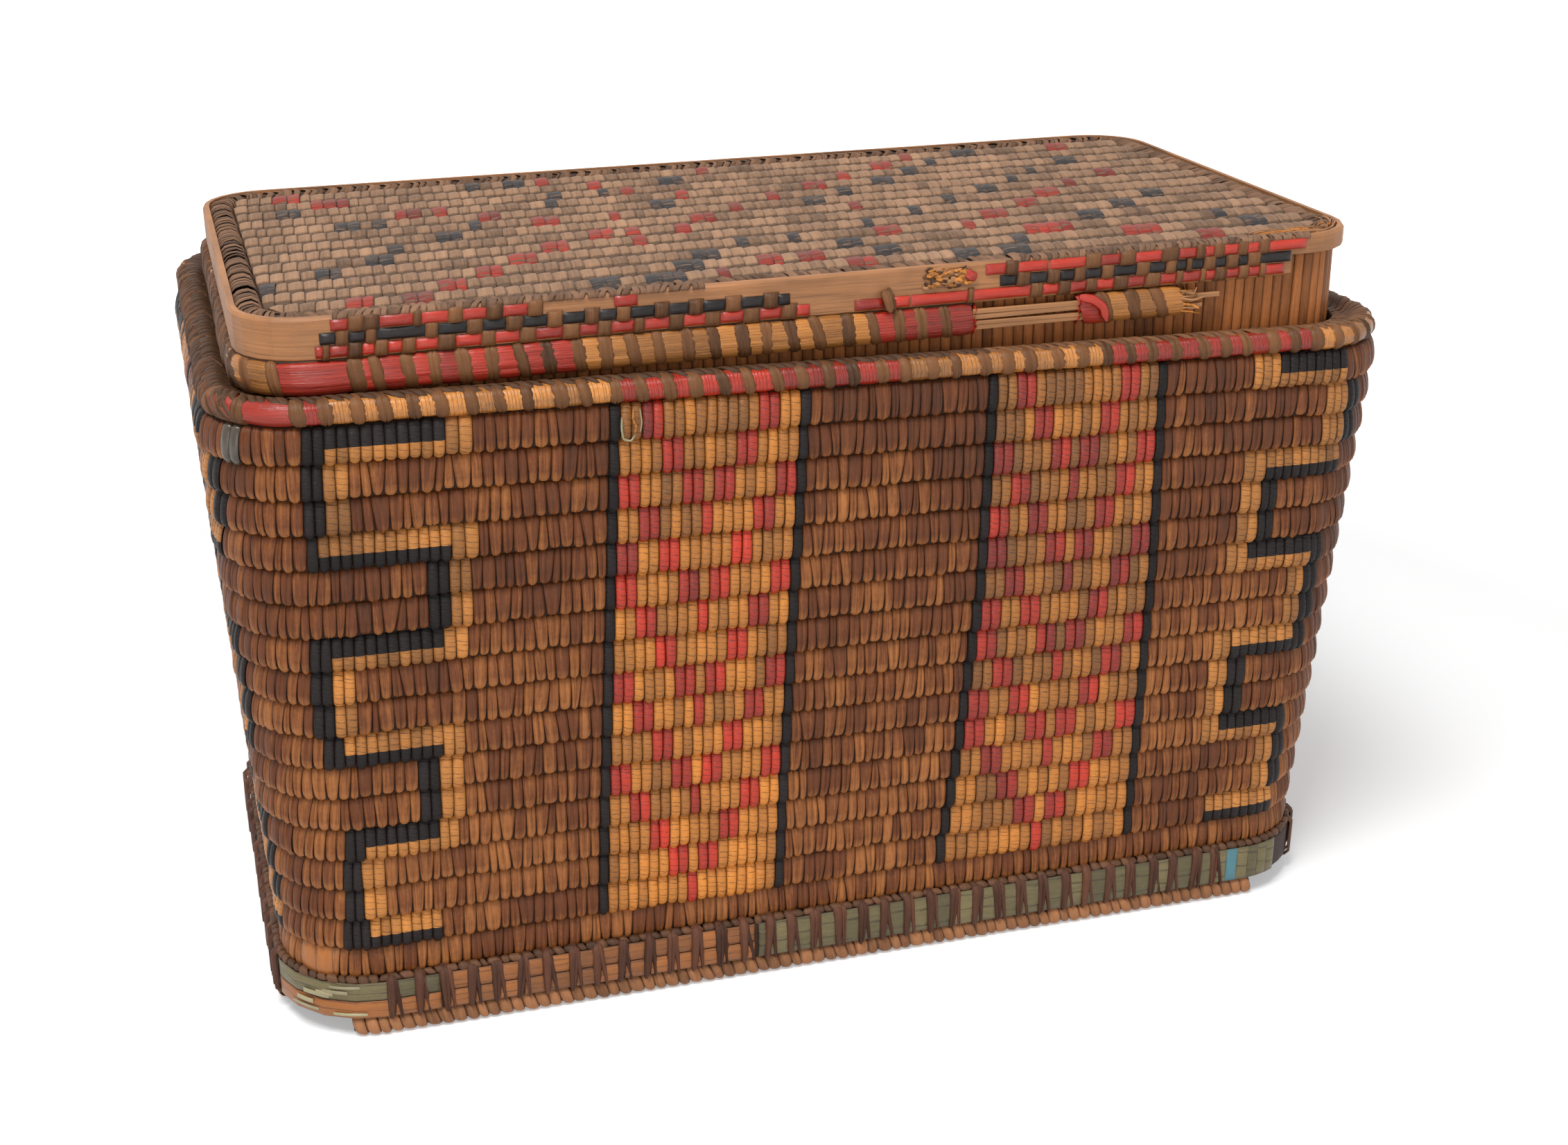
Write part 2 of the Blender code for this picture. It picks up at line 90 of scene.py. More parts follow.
class TrunkSizes(bpy.types.PropertyGroup):
    wall_radius: length("Wall corner", "Radius of the wall's rounded corners, on their outer face", 0.048)
    foot_radius: length("Foot corner", "Radius of the foot's rounded corners", 0.052)
    lid_radius: length("Lid corner", "Radius of the bent slat's corners", 0.035)
    rim_fall: length("Rim fall", "How much lower the rim is at its right end than in its middle", 0.003)
    lid_rise: length("Lid rise", "How much higher the lid is at its right end than in its middle", 0.0036)
    course_thickness: length("Course thickness", "Thickness of a wall course", 0.0092)
    rim_thickness: length("Rim thickness", "Thickness of the rim coil", 0.0130)
    lid_coil_thickness: length("Lid coil thickness", "Thickness of the coil on the lid's lower edge", 0.0065)
    lid_coil_proud: length("Lid coil proud", "How far that coil stands out from the slat", 0.003)
    slat_thickness: length("Slat thickness", "Thickness of the lid's bent slat", 0.0035)
    slat_break: length("Slat break", "How far along the right end the slat and its coil are gone", 0.066)
    border_width: length("Border width", "Width of the coil round the lid's panel", 0.012)
    collar_thickness: length("Collar thickness", "Thickness of the collar", 0.005)
    seam: length("Seam", "The gap between two pieces", 0.0003)
    stitch: length("Stitch", "Width of a plain root stitch on the wall", 0.0057)
    stitch_hang: length("Stitch hang", "How far a stitch's lower end hangs over the next course", 0.0014)
    straw: length("Straw", "Width of a straw stitch on the wall", 0.0053)
    groove: length("Groove", "Depth of the groove between two stitches", 0.0007)
    puff: length("Puff", "How far the middle of a stitch stands out", 0.00025)
    straw_proud: length("Straw proud", "How far the straw stands out over the root", 0.0004)
    bead: length("Bead pitch", "A wrap and the bead beside it on the rim coils", 0.0133)
    bead_wrap: length("Bead wrap", "Width of a root wrap on the rim coils", 0.0078)
    wrap_rise: length("Wrap rise", "How far a root wrap stands out over the straw", 0.0008)
    straw_swell: length("Straw swell", "How far the straw swells out between two wraps", 0.0009)
    straw_sunk: length("Straw sunk", "How far the straw is drawn in under a wrap", 0.0008)
    straw_ridge: length("Straw ridge", "Unevenness of the straws along a rim coil", 0.0002)
    straw_ridge_width: length("Straw ridge width", "Width of one straw along a rim coil", 0.0016)
    plait_strand: length("Shoulder strand", "Width of a slanting strand on the shoulder", 0.0062)
    collar_wrap: length("Collar wrap", "Width of a root wrap on the collar", 0.0056)
    tile: length("Lid stitch", "Width of a stitch on the lid's coils", 0.0069)
    border_stitch: length("Border stitch", "Width of a stitch on the lid's border coil", 0.0042)
    lashing: length("Lashing", "Width of a stitch over the slat's top edge", 0.0036)
    straw_dome: length("Straw dome", "How far the middle of a straw stitch stands out", 0.00045)
    uneven: length("Unevenness", "How much one stitch stands out over the next", 0.00016)
    split: length("Split", "Depth of the crack along a split stitch", 0.0008)
    foot_thickness: length("Foot thickness", "Thickness of the foot band", 0.0096)
    foot_coil_thickness: length("Foot coil thickness", "Thickness of the coil under the foot", 0.009)
    foot_wrap: length("Foot wrap", "Width of a wrap on the foot band, at its top", 0.0058)
    foot_stitch: length("Foot stitch", "Width of a stitch on the coil under the foot", 0.0064)
    grass_left_wrap: length("Left grass", "How far the grass runs round the foot's left corner", 0.070)
    grass_right_wrap: length("Right grass", "How far the grass runs round the foot's right corner", 0.0255)
    ledge: length("Ledge", "Size of the stitches where the wall stands on the foot", 0.0042)
    grass_lap: length("Grass lap", "How far the grass reaches down over the coil under it", 0.0012)
    rope: length("Rope", "Width of a wrap where the wraps lie side by side on a rim coil", 0.0048)
    skew: length("Skew", "How far the edge between two stitches leans one way or the other", 0.0011)
    foot_pair: length("Foot pair", "From one pair of wraps on the foot to the next", 0.0134)


class TrunkColours(bpy.types.PropertyGroup):
    root: colour("Root", "Split root of the wall", 108, 58, 27)
    pale_root: colour("Pale root", "The lightest of the wall's root", 174, 110, 58)
    gold: colour("Gold straw", "Straw left in its own colour", 178, 110, 38)
    red: colour("Red straw", "Straw dyed red", 172, 42, 18)
    black: colour("Black straw", "Straw dyed black", 30, 25, 24)
    tan: colour("Tan straw", "Straw darkened with age", 174, 112, 50)
    rim_root: colour("Rim root", "Root round the rim coils", 108, 70, 40)
    lid_root: colour("Lid root", "Weathered root on the lid's panel", 150, 116, 90)
    lid_red: colour("Faded red", "Red straw worn on the lid's panel", 146, 44, 28)
    lid_black: colour("Faded black", "Black straw worn on the lid's panel", 46, 42, 42)
    border: colour("Border root", "Worn root round the lid's edge", 124, 92, 70)
    collar: colour("Collar root", "Clean root round the collar", 150, 92, 48)
    bead_red: colour("Red bead", "Glossy red straw under the wraps of a rim coil", 160, 42, 24)
    bead_gold: colour("Gold bead", "Straw under the wraps of a rim coil", 174, 112, 50)
    strip_red: colour("Red strip", "Dyed red strip woven on the lid's skirt", 164, 42, 24)
    grass_gold: colour("Gold grass", "Straw yellow grass on the foot", 150, 90, 38)
    slat: colour("Slat", "Bare bent slat", 168, 114, 70)
    splint: colour("Splint", "Fresh broken splint", 172, 120, 76)
    green: colour("Green grass", "Grass dyed a dull green", 98, 88, 56)
    rope: colour("Rope root", "Dark root that hides the coils at the left end", 92, 62, 42)
    pale_grass: colour("Pale grass", "Glossy grass left pale at the foot's corner", 158, 148, 112)
    turquoise: colour("Turquoise grass", "Grass dyed turquoise at the foot's right end", 74, 122, 132)
    foot_root: colour("Foot root", "Dark root wrapped round the foot", 88, 54, 38)
    foot_coil: colour("Foot coil", "Light root on the coil under the foot", 156, 106, 70)
    plait: colour("Plait", "Slanting root strands on the shoulder", 108, 72, 45)
    resin: colour("Resin", "Dried shiny resin on the corner", 70, 60, 46)
    core: colour("Core", "The dark bundle between the stitches", 46, 27, 18)


# The frets at the left and right of the front, a line for each row from the rim down: each entry is a kind
# of stitch and the run in millimetres where it starts, and the last number is where the fret ends
LEFT_FRET = """
k-265.4 u-255.3 t-200.1 -187.4
k-267 t-257 -245.4
k-267 t-257 -245.4
k-266.7 v-261.5 t-199.5 -186.5
k-211.8 t-201.3 -190.7
k-211.8 t-201.3 -190.7
k-269.6 u-259.1 t-205.5 -193.8
k-270.5 t-259.8 -249.1
k-270.5 t-259.8 -249.1
k-266.8 v-256.3 t-208.3 -197.5
k-221.4 t-210.9 -198.9
k-221.4 t-210.9 -198.9
k-259.8 u-249.7 t-212.6 -202.9
k-262 t-252.5 -241
k-262 t-252.5 -241
k-264.1 v-250.4 -213.7
"""
RIGHT_FRET = """
t218.2 u233.6 274
t263 k278 289
t263 k278 289
t218.8 v232 278.5
t218.7 k231.2 240.4
t218.7 k231.2 240.4
t214.7 u227.3 k266.7 276
t253.6 k264.3 276
t253.6 k264.3 276
t213 v224 k262.6 272
t212 k223.7 234.5
t212 k223.7 234.5
t211.9 u222.7 k259.5 266
t247.4 k259 269
t247.4 k259 269
v220 265
"""

# The straw panels, as the runs in millimetres where each starts and ends, at rows 1, 7, 13 and 16
LEFT_PANEL = ((1, -117.1, -27.6), (7, -121.2, -31.4), (13, -125.2, -34.4), (16, -126.8, -35.8))
RIGHT_PANEL = ((1, 75.5, 163.5), (7, 75.5, 168.5), (13, 67.6, 169.5), (16, 62.0, 169.5))
PANEL_STITCHES = 17
PANEL_EDGE = 0.005

# The panel and frets at each end: half the panel's width, its stitches, and how far the frets stand from
# their place on the front
END_PANEL = 0.029
END_STITCHES = 11
END_SHIFT = 0.004

# The straw on the lowest course at the left front corner, and the resin on the highest one
LOW_STRAW = ("s", -0.292, -0.268)
RESIN_RUN = (-0.3065, -0.2955)

# Tones of the wall's root: painted shade, a step darker from each course to the one above it under the rim's
# overhang, and a darker run on the front
LEVEL_ROW = 7
ROW_SHADE_STEP = 0.022
DARKER_RUN = (0.060, 0.172)
DARKER_RUN_STEP = 0.2

# Loose fibres on a course, as places (run, out and up, in millimetres), a width and a finish
LOOSE = {1: (
    (
        ((-117, 1.6, 12), (-117.3, 2.4, 6), (-116.4, 2.2, 1), (-112.8, 2.6, 0.2), (-110.6, 1.8, 3)),
        1.1, PALE_GRASS,
    ),
    (((-111.2, 1.4, 16), (-111.8, 2.2, 11), (-110.2, 2.6, 7), (-110.9, 2.0, 3.5)), 1.3, GOLD),
    (((-108.2, 1.4, 15.5), (-107.4, 2.2, 9), (-108.3, 2.4, 4)), 0.8, PALE_GRASS),
)}

# Beads of the wall's rim coil along the front: the run in millimetres up to which each colour goes
RIM_COLOURS = ((-254, "r"), (-115, "g"), (23, "r"), (134, "g"), (255, "r"), (278, "g"))
LID_COIL_COLOURS = ((-274.9, "g"), (-130.9, "r"), (13.1, "g"), (72.0, "r"))
PLAIN_BEADS = {"r": BEAD_RED, "g": BEAD_GOLD}
WOUND_BEADS = {"r": WOUND_RED, "g": WOUND_GOLD}

# Unwrapped red lengths of the rim coils along the front, and the rope of close wraps at the left end, as
# how far it runs past the front's left corner
RIM_LONG_BEAD = (-0.2960, -0.2655)
LID_LONG_BEAD = (-0.2745, -0.2357)
ROPED_PAST_CORNER = (0.040, 0.310)

# The shoulder's strands carry a painted shadow of the lid's coil: dark up to this run on the front, and
# lighter from there on, where the lid's coil is broken
SHOULDER_SHADOW_END = 0.06
SHOULDER_SHADOW_TONES = (-0.4, 0.6)

# Where the strips show between the wraps of the lid's skirt, in millimetres along the front
SKIRT_STRIPS = {
    "lid_strip_red_upper_left": (2, """
        -245.8 -237.4 -224.0 -207.6 -205.0 -191.7 -185.9 -174.0 -167.2 -154.6 -114.0 -102.7"""),
    "lid_strip_red_upper_right": (2, """
        74.0 85.1 90.6 107.4 108.4 128.1 135.7 147.1 154.7 170.1 179.1 189.6 193.5 199.3 204.4 213.1
        217.9 225.0 230.2 252.2"""),
    "lid_strip_black_left": (1, """
        -251.2 -243.5 -238.5 -230.0 -226.0 -202.6 -197.8 -183.4 -176.9 -165.3 -158.1 -145.7 -139.4
        -127.9 -121.9 -112.5 -106.9 -94.1 -88.3 -77.4 -71.3 -59.3 -52.4 -40.3 -34.0 -27.4"""),
    "lid_strip_black_right": (1, """
        81.7 90.9 97.3 107.7 113.4 122.0 127.3 137.2 142.9 156.4 162.9 172.6 177.6 184.2 186.2 194.0
        199.9 206.6 212.9 218.9 225.6 243.6"""),
    "lid_strip_red_lower_left": (0, """
        -253.5 -249.7 -247.7 -238.3 -232.7 -226.4 -221.0 -213.7 -208.3 -197.2 -189.8 -177.2 -171.4
        -159.4 -152.2 -138.7 -131.4 -122.1 -116.1 -104.3 -100.3 -87.4 -80.9 -69.7 -62.8 -50.7 -43.1
        -31.6 -24.6 -17.4"""),
    "lid_strip_red_lower_right": (0, """
        5.5 21.6 25.2 34.3 35.0 65.3 67.1 98.7 104.3 113.7 119.4 128.9 133.8 144.1 151.0 161.4 169.2
        178.9 181.6 192.6 194.5 200.4 206.4 214.3 219.0 226.2 228.6 240.2"""),
}

# Root wraps over the strips: their width, how far they reach past a strip, the gap between strips that is
# too narrow for one, and the gap that is wide enough to stay bare behind a single wrap
SKIRT_WRAP = 0.0062
SINGLE_WRAP = 0.006
WRAP_REACH = 0.0011
NARROW_GAP = 0.0012
BARE_GAP = 0.03

# Runs of the slat's top edge that are lashed, in millimetres
LASHED = ((-244.5, -69.5), (88.5, 255.5))

# The torn spot on the slat: its run, the shares of the slat's height it lies between, and its fibres, of
# which the first are dark and the next pale
TORN_RUN = (0.0405, 0.0620)
TORN_HEIGHT_SHARES = (0.50, 0.92)
TORN_FIBRES = 74
TORN_SHADES = (26, 50)

# Frayed fibres on the lid's border at its right front corner, and at the end of the broken coil
FRAYED_FIBRES = 70
FRAYED_RUN = 0.030
STUB_FIBRES = 9

# The splints of the broken coil: the shares of its height they lie between, how far they reach as a share
# of the piece, and their tilt
SPLINTS = (
    (0.00, 0.22, 0.66, 0.000), (0.23, 0.44, 0.93, 0.010), (0.50, 0.74, 1.0, -0.004), (0.76, 1.0, 0.9, 0.006),
)

# How much tighter the base's corners are than the wall's
BASE_INSET = 0.0095

# Pale streaks on the grass at the foot's left corner, as shares of its height
STREAK_SHARES = (0.10, 0.14, 0.30, 0.56, 0.62, 0.70, 0.86)

# Red and black stitches on the lid's coils, a line for each from the front one back: a letter, the run in
# millimetres and the count
LID_MARKS = """
r-234:2 k-115:2 k-93:3 r-204:2 r-53:1 r12:2 k70:2 k97:2 r203:2
r-183:2 k-69:2 r-31:2 r-7:2 k35:2 k109:1 r169:3 k242:2
k-268:1 r-165:2 k-53:2 k21:2 r128:3 r148:1 k232:1
k-243:2 r-141:2 k-29:1 k1:1 r52:2 r95:1 k167:2
k-216:2 r-122:2 r-76:1 k49:1 r117:2 k197:2
k-201:1 r-94:2 r-72:1 r-50:1 k83:1 r143:2 k223:2
k-175:2 r-33:2 k109:1 r165:2 r57:1
k-153:1 r-120:2 r-74:1 r-7:1 k33:2 k137:2 r193:1
k-224:2 k-202:1 r-142:2 k-50:2 r23:1 k59:1 k163:1 r219:2
r-185:2 r-165:1 r-28:1 k-103:1 r49:2 k87:2 k189:1
k-246:2 k-98:1 k-70:1 r-56:1 r77:1 k113:1 k217:2
r-229:2 r-211:1 r-73:1 k-27:2 r105:2 k139:1
r-251:2 k-118:2 k-138:1 r-99:1 r-1:1 r133:1 k165:2 r229:2
"""

# How far a core lies under its stitches, and how far it laps its neighbours where it reaches them
CORE_DEPTH = 0.0012
SEAM_LAP = 0.0008

# A core is laid in lengths, and looks like strands of this width and tone, with a tone for its cut ends
CORE_LENGTH = 0.03
CORE_STRAND = 0.003
CORE_TONE = 0.4
CUT_TONE = 0.9

# A beaded coil has this many points round it, and straws that end unevenly, by up to this much and in a
# tone of their own
BEAD_POINTS = 26
RAGGED = 0.002
RAGGED_TONE = 0.7

RIBBON_THICKNESS = 0.0007

# Places across a stitch, from edge to edge, plain and with a crack along its middle
ACROSS = np.array([-1.0, -0.9, -0.5, 0.0, 0.5, 0.9, 1.0])
SPLIT_ACROSS = np.array([-1.0, -0.88, -0.14, 0.0, 0.14, 0.88, 1.0])

# The stage: the floor, the lamps with their place, target, width and power, and the camera that the photo
# was fitted with, its lens in millimetres and its yaw, pitch and roll in degrees
FLOOR_SIZE = 12.0
FLOOR_DROP = 0.0005
LAMPS = (
    ("key", (-0.8, -1.0, 2.7), (0, 0, 0.15), 1.0, 66),
    ("fill", (1.4, -2.0, 1.0), (0, 0, 0.15), 1.6, 6),
    ("low fill", (-0.6, -2.3, 0.4), (0, 0, 0.10), 1.2, 10),
)
CAMERA_LENS = 48.57
CAMERA_PLACE = (-0.3243, -1.1016, 0.6299)
CAMERA_ANGLES = (-17.135, 21.78, 0.212)

# Sections, up the outer face, over the top and down the inner one: a share of the thickness, a share of the
# height, and the width of a plain stitch there
COURSE = (
    (-0.42, 0.00, 0.90), (-0.17, 0.03, 0.96), (-0.04, 0.12, 0.99), (0.00, 0.26, 1.00), (-0.01, 0.43, 1.00),
    (-0.06, 0.61, 1.00), (-0.14, 0.78, 1.00), (-0.26, 0.92, 1.00), (-0.42, 1.00, 1.00), (-0.66, 1.00, 0.96),
    (-0.92, 0.78, 0.96), (-1.00, 0.50, 1.00), (-0.92, 0.22, 0.96), (-0.66, 0.00, 0.90),
)
COIL = (
    (-0.50, 0.00, 0.86), (-0.24, 0.05, 0.92), (-0.07, 0.19, 1.00), (0.00, 0.38, 1.00), (0.00, 0.58, 1.00),
    (-0.06, 0.78, 1.00), (-0.20, 0.94, 0.96), (-0.42, 1.00, 0.92), (-0.66, 1.00, 0.90), (-0.90, 0.86, 0.90),
    (-1.00, 0.60, 1.00), (-1.00, 0.40, 1.00), (-0.90, 0.14, 0.90), (-0.74, 0.00, 0.86),
)
BAND = (
    (-0.50, 0.00, 1.00), (-0.10, 0.015, 1.00), (0.00, 0.07, 1.00), (0.00, 0.22, 1.00), (0.00, 0.40, 1.00),
    (0.00, 0.60, 1.00), (0.00, 0.78, 1.00), (0.00, 0.93, 1.00), (-0.12, 0.985, 1.00), (-0.50, 1.00, 1.00),
    (-0.88, 0.985, 1.00), (-1.00, 0.90, 1.00), (-1.00, 0.50, 1.00), (-1.00, 0.08, 1.00),
    (-0.88, 0.015, 1.00),
)
ROW = (
    (-0.10, 0.00, 0.90), (-0.02, 0.30, 0.96), (-0.02, 0.52, 1.00), (-0.07, 0.72, 1.00), (-0.18, 0.88, 1.00),
    (-0.34, 0.98, 1.00), (-0.52, 1.00, 1.00), (-0.70, 0.95, 1.00), (-0.86, 0.81, 1.00), (-0.97, 0.60, 1.00),
    (-0.99, 0.36, 0.90), (-0.90, 0.00, 0.90), (-0.50, -0.04, 1.00),
)

# Lines that short strands follow, in millimetres out from the ring and up from its top
SHOULDER = (
    (-22.0, -2.5), (-18.0, -2.45), (-14.4, -2.4), (-12.4, -1.0), (-10.6, 0.5), (-8.6, 1.3), (-6.6, 1.4),
    (-5.0, 1.0), (-3.8, 0.2), (-3.1, -0.9),
)
OVER_SLAT = (
    (-7.0, 0.6), (-4.7, 1.1), (-1.75, 1.0), (0.2, 0.8), (0.8, 0.2), (1.0, -0.7), (0.8, -1.4), (0.1, -1.7),
)


def grain_over(run, across, along, tone):
    """The grain of each point: its place across its strand and along it, and the strand's tone."""
    return np.stack([np.broadcast_to(part, run.shape) for part in (across, along, tone)], -1)


def walk_along(points):
    """How far it is along a line to each of its points."""
    return np.concatenate([[0.0], np.cumsum(np.linalg.norm(np.diff(points, axis=0), axis=1))])


def ribbon(sewing, path, places, width, finish, tone=0.5):
    """A loose strand through these places, each a run, a distance out and a height."""
    places = np.array(places, dtype=float)
    stops = np.linspace(0, len(places) - 1, 6 * len(places))
    line = np.stack([np.interp(stops, np.arange(len(places)), places[:, i]) for i in range(3)], -1)
    for _ in range(3):
        line[1:-1] = (line[:-2] + 2 * line[1:-1] + line[2:]) / 4
    ahead = np.gradient(line[:, [0, 2]], axis=0)
    ahead /= np.linalg.norm(ahead, axis=1)[:, None] + 1e-9
    turn = np.linspace(0, 2 * np.pi, 8, endpoint=False)[:, None]
    slim = np.interp(np.linspace(0, 1, len(line)), (0, 0.12, 0.85, 1), (0.6, 1, 1, 0.35))
    wide = np.cos(turn) * slim * width / 2
    run = line[:, 0] - ahead[:, 1] * wide
    up = line[:, 2] + ahead[:, 0] * wide
    out = line[:, 1] + np.sin(turn) * RIBBON_THICKNESS / 2
    grain = grain_over(run, np.cos(turn), walk_along(line), tone)
    sewing.add(path.place(run, out, up)[None], grain[None], finish)


def sizes():
    return bpy.context.scene.trunk_sizes


def rim_tilt():
    low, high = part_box("rim_coil")
    return math.atan2(sizes().rim_fall, (high.x - low.x) / 2)


def lid_tilt():
    low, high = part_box("lid_skirt_slat")
    return -math.atan2(sizes().lid_rise, (high.x - low.x) / 2)


class Ring:
    """A rounded rectangle, walked by run: rightwards from the middle of its front, and on round."""

    def __init__(self, width, depth, radius, centre_x, level, tilt):
        self.width, self.depth, self.radius = width, depth, radius
        self.front = width / 2 - radius
        self.side = depth / 2 - radius
        arc = math.pi / 2 * radius
        legs = [self.front, arc, 2 * self.side, arc, 2 * self.front, arc, 2 * self.side, arc, self.front]
        self.starts = np.concatenate([[0.0], np.cumsum(legs)])
        self.around = self.starts[-1]
        self.end_middle = self.front + arc + self.side
        half_w, half_d, front, side = width / 2, depth / 2, self.front, self.side
        self.origins = np.array([
            (0, -half_d), (front, -side), (half_w, -side), (front, side), (front, half_d),
            (-front, side), (-half_w, side), (-front, -side), (-front, -half_d),
        ])
        self.turns = np.radians([-90, -90, 0, 0, 90, 90, 180, 180, 270])
        self.bends = np.array([0, 1, 0, 1, 0, 1, 0, 1, 0])
        self.matrix = Matrix.Translation((centre_x, 0, level)) @ Matrix.Rotation(tilt, 4, "Y")
        self.inward = None

    def at(self, run):
        """The points at these runs, and the ways out from them."""
        run = np.mod(run, self.around)
        leg = np.clip(np.searchsorted(self.starts, run, side="right") - 1, 0, 8)
        left = run - self.starts[leg]
        bend = self.bends[leg]
        turn = self.turns[leg] + bend * left / self.radius
        out = np.stack([np.cos(turn), np.sin(turn)], -1)
        ahead = np.stack([-np.sin(turn), np.cos(turn)], -1)
        bent = out * (bend * self.radius)[..., None]
        straight = ahead * ((1 - bend) * left)[..., None]
        return self.origins[leg] + bent + straight, out

    def place(self, run, out, up):
        """Points in the trunk's own space, out from the ring's line and up from its level."""
        points, ways = self.at(run)
        if self.inward is not None:
            ends = ways[..., 0] ** 2
            wide = np.where(ways[..., 0] > 0, self.inward[1], self.inward[2])
            out = out * (self.inward[0] * (1 - ends) + wide * ends)
        points = points + ways * np.broadcast_to(out, run.shape)[..., None]
        flat = np.concatenate([points, np.broadcast_to(up, run.shape)[..., None]], -1)
        turn = np.array(self.matrix.to_3x3())
        return flat @ turn.T + np.array(self.matrix.translation)


class Bar(Ring):
    """A straight coil along X, cut to the rounded rectangle that holds it."""

    def __init__(self, front, level, holder, centre_x, tilt):
        self.line = front
        self.holder = holder
        self.matrix = Matrix.Translation((centre_x, 0, level)) @ Matrix.Rotation(tilt, 4, "Y")

    def reach(self, y):
        """How far the holder goes along X, at this place across."""
        half_w, half_d, radius = self.holder
        into = np.clip(np.abs(y) - (half_d - radius), 0, radius)
        return half_w - radius + np.sqrt(np.maximum(radius**2 - into**2, 0))

    def place(self, run, out, up):
        y = np.broadcast_to(self.line - out, run.shape)
        x = np.clip(run, -self.reach(y), self.reach(y))
        flat = np.stack([x, y, np.broadcast_to(up, run.shape)], -1)
        return flat @ np.array(self.matrix.to_3x3()).T + np.array(self.matrix.translation)


def wall_ring(name, radius, tilt):
    """The ring that a node of the trunk lies on, and the node's height."""
    low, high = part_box(name)
    width, depth = high.x - low.x, high.y - low.y
    height = high.z - low.z - width * math.tan(abs(tilt))
    level = low.z + width / 2 * math.sin(abs(tilt))
    return Ring(width, depth, radius, (low.x + high.x) / 2, level, tilt), height


class Sewing:
    """Gathers patches of stitches into one mesh."""

    def __init__(self, name):
        self.name = name
        self.points, self.grain, self.faces, self.finish, self.spots = [], [], [], [], []
        self.count = 0

    def add(self, points, grain, finish, closed=True):
        """Adds patches: points and grain by patch, row and column, and the finish of each face."""
        patches, rows, columns = points.shape[:3]
        index = np.arange(patches * rows * columns).reshape(patches, rows, columns) + self.count
        after = np.roll(index, -1, 1)
        first = index if closed else index[:, :-1]
        second = after if closed else index[:, 1:]
        quads = np.stack([first[..., :-1], first[..., 1:], second[..., 1:], second[..., :-1]], -1)
        self.points.append(points.reshape(-1, 3))
        self.grain.append(grain.reshape(-1, 3))
        self.faces.append(quads.reshape(-1, 4))
        self.finish.append(np.broadcast_to(finish, quads.shape[:3]).reshape(-1))
        face_rows = quads.shape[1]
        low_v, low_u = np.meshgrid(np.arange(face_rows), np.arange(columns - 1), indexing="ij")
        corner_u = np.stack([low_u, low_u + 1, low_u + 1, low_u], -1) / (columns - 1)
        corner_v = np.stack([low_v, low_v, low_v + 1, low_v + 1], -1) / face_rows
        spot = np.stack([corner_u, corner_v], -1)
        self.spots.append(np.broadcast_to(spot, (patches, *spot.shape)))
        self.count += patches * rows * columns

    def make(self, body, node=None):
        """Turns what was gathered into a piece that rides on its body and stands for its node."""
        points = np.concatenate(self.points)
        faces = np.concatenate(self.faces)
        finish = np.concatenate(self.finish)
        mesh = bpy.data.meshes.new(self.name)
        mesh.vertices.add(len(points))
        mesh.vertices.foreach_set("co", points.astype(np.float32).ravel())
        mesh.loops.add(faces.size)
        mesh.loops.foreach_set("vertex_index", faces.astype(np.int32).ravel())
        mesh.polygons.add(len(faces))
        mesh.polygons.foreach_set("loop_start", np.arange(0, faces.size, 4, dtype=np.int32))
        used = np.unique(finish)
        mesh.polygons.foreach_set("material_index", np.searchsorted(used, finish).astype(np.int32))
        mesh.polygons.foreach_set("use_smooth", np.ones(len(faces), dtype=bool))
        materials = finishes()
        for number in used:
            mesh.materials.append(materials[number])
        mesh.update(calc_edges=True)
        layer = mesh.attributes.new("grain", "FLOAT_VECTOR", "POINT")
        layer.data.foreach_set("vector", np.concatenate(self.grain).astype(np.float32).ravel())
        self.lay_map(mesh)
        mesh.validate()
        piece = bpy.data.objects.new(self.name, mesh)
        bpy.context.scene.collection.objects.link(piece)
        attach(piece, body)
        if node:
            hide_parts(node)

    def lay_map(self, mesh):
        """Gives each patch a cell of its own in the map that a bake uses."""
        patches = sum(len(spots) for spots in self.spots)
        side = math.ceil(math.sqrt(patches))
        margin = 0.06
        places, first = [], 0
        for spots in self.spots:
            number = np.arange(first, first + len(spots))
            corner = np.stack([number % side, number // side], -1).reshape(-1, 1, 1, 1, 2)
            places.append(((corner + margin + spots * (1 - 2 * margin)) / side).reshape(-1, 2))
            first += len(spots)
        layer = mesh.uv_layers.new(name="OFBake")
        layer.data.foreach_set("uv", np.concatenate(places).astype(np.float32).ravel())


Coil = namedtuple("Coil", "path section thickness height")


def section_lines(coil, count=None):
    """The section's points, the way out from each, and the way walked along it, all in metres."""
    points = np.array(coil.section)[:, :2] * (coil.thickness, coil.height)
    if count:
        loop = np.vstack([points, points[:1]])
        walked = walk_along(loop)
        stops = np.linspace(0, walked[-1], count, endpoint=False)
        points = np.stack([np.interp(stops, walked, loop[:, i]) for i in (0, 1)], -1)
    along = np.roll(points, -1, 0) - np.roll(points, 1, 0)
    ways = np.stack([along[:, 1], -along[:, 0]], -1)
    ways /= np.linalg.norm(ways, axis=1)[:, None]
    return points, ways, walk_along(points)


def raised(points, ways, rise):
    """How far out and up a section's points are when they are raised by this much, stitch by stitch."""
    return [points[None, :, None, i] + ways[None, :, None, i] * rise for i in (0, 1)]


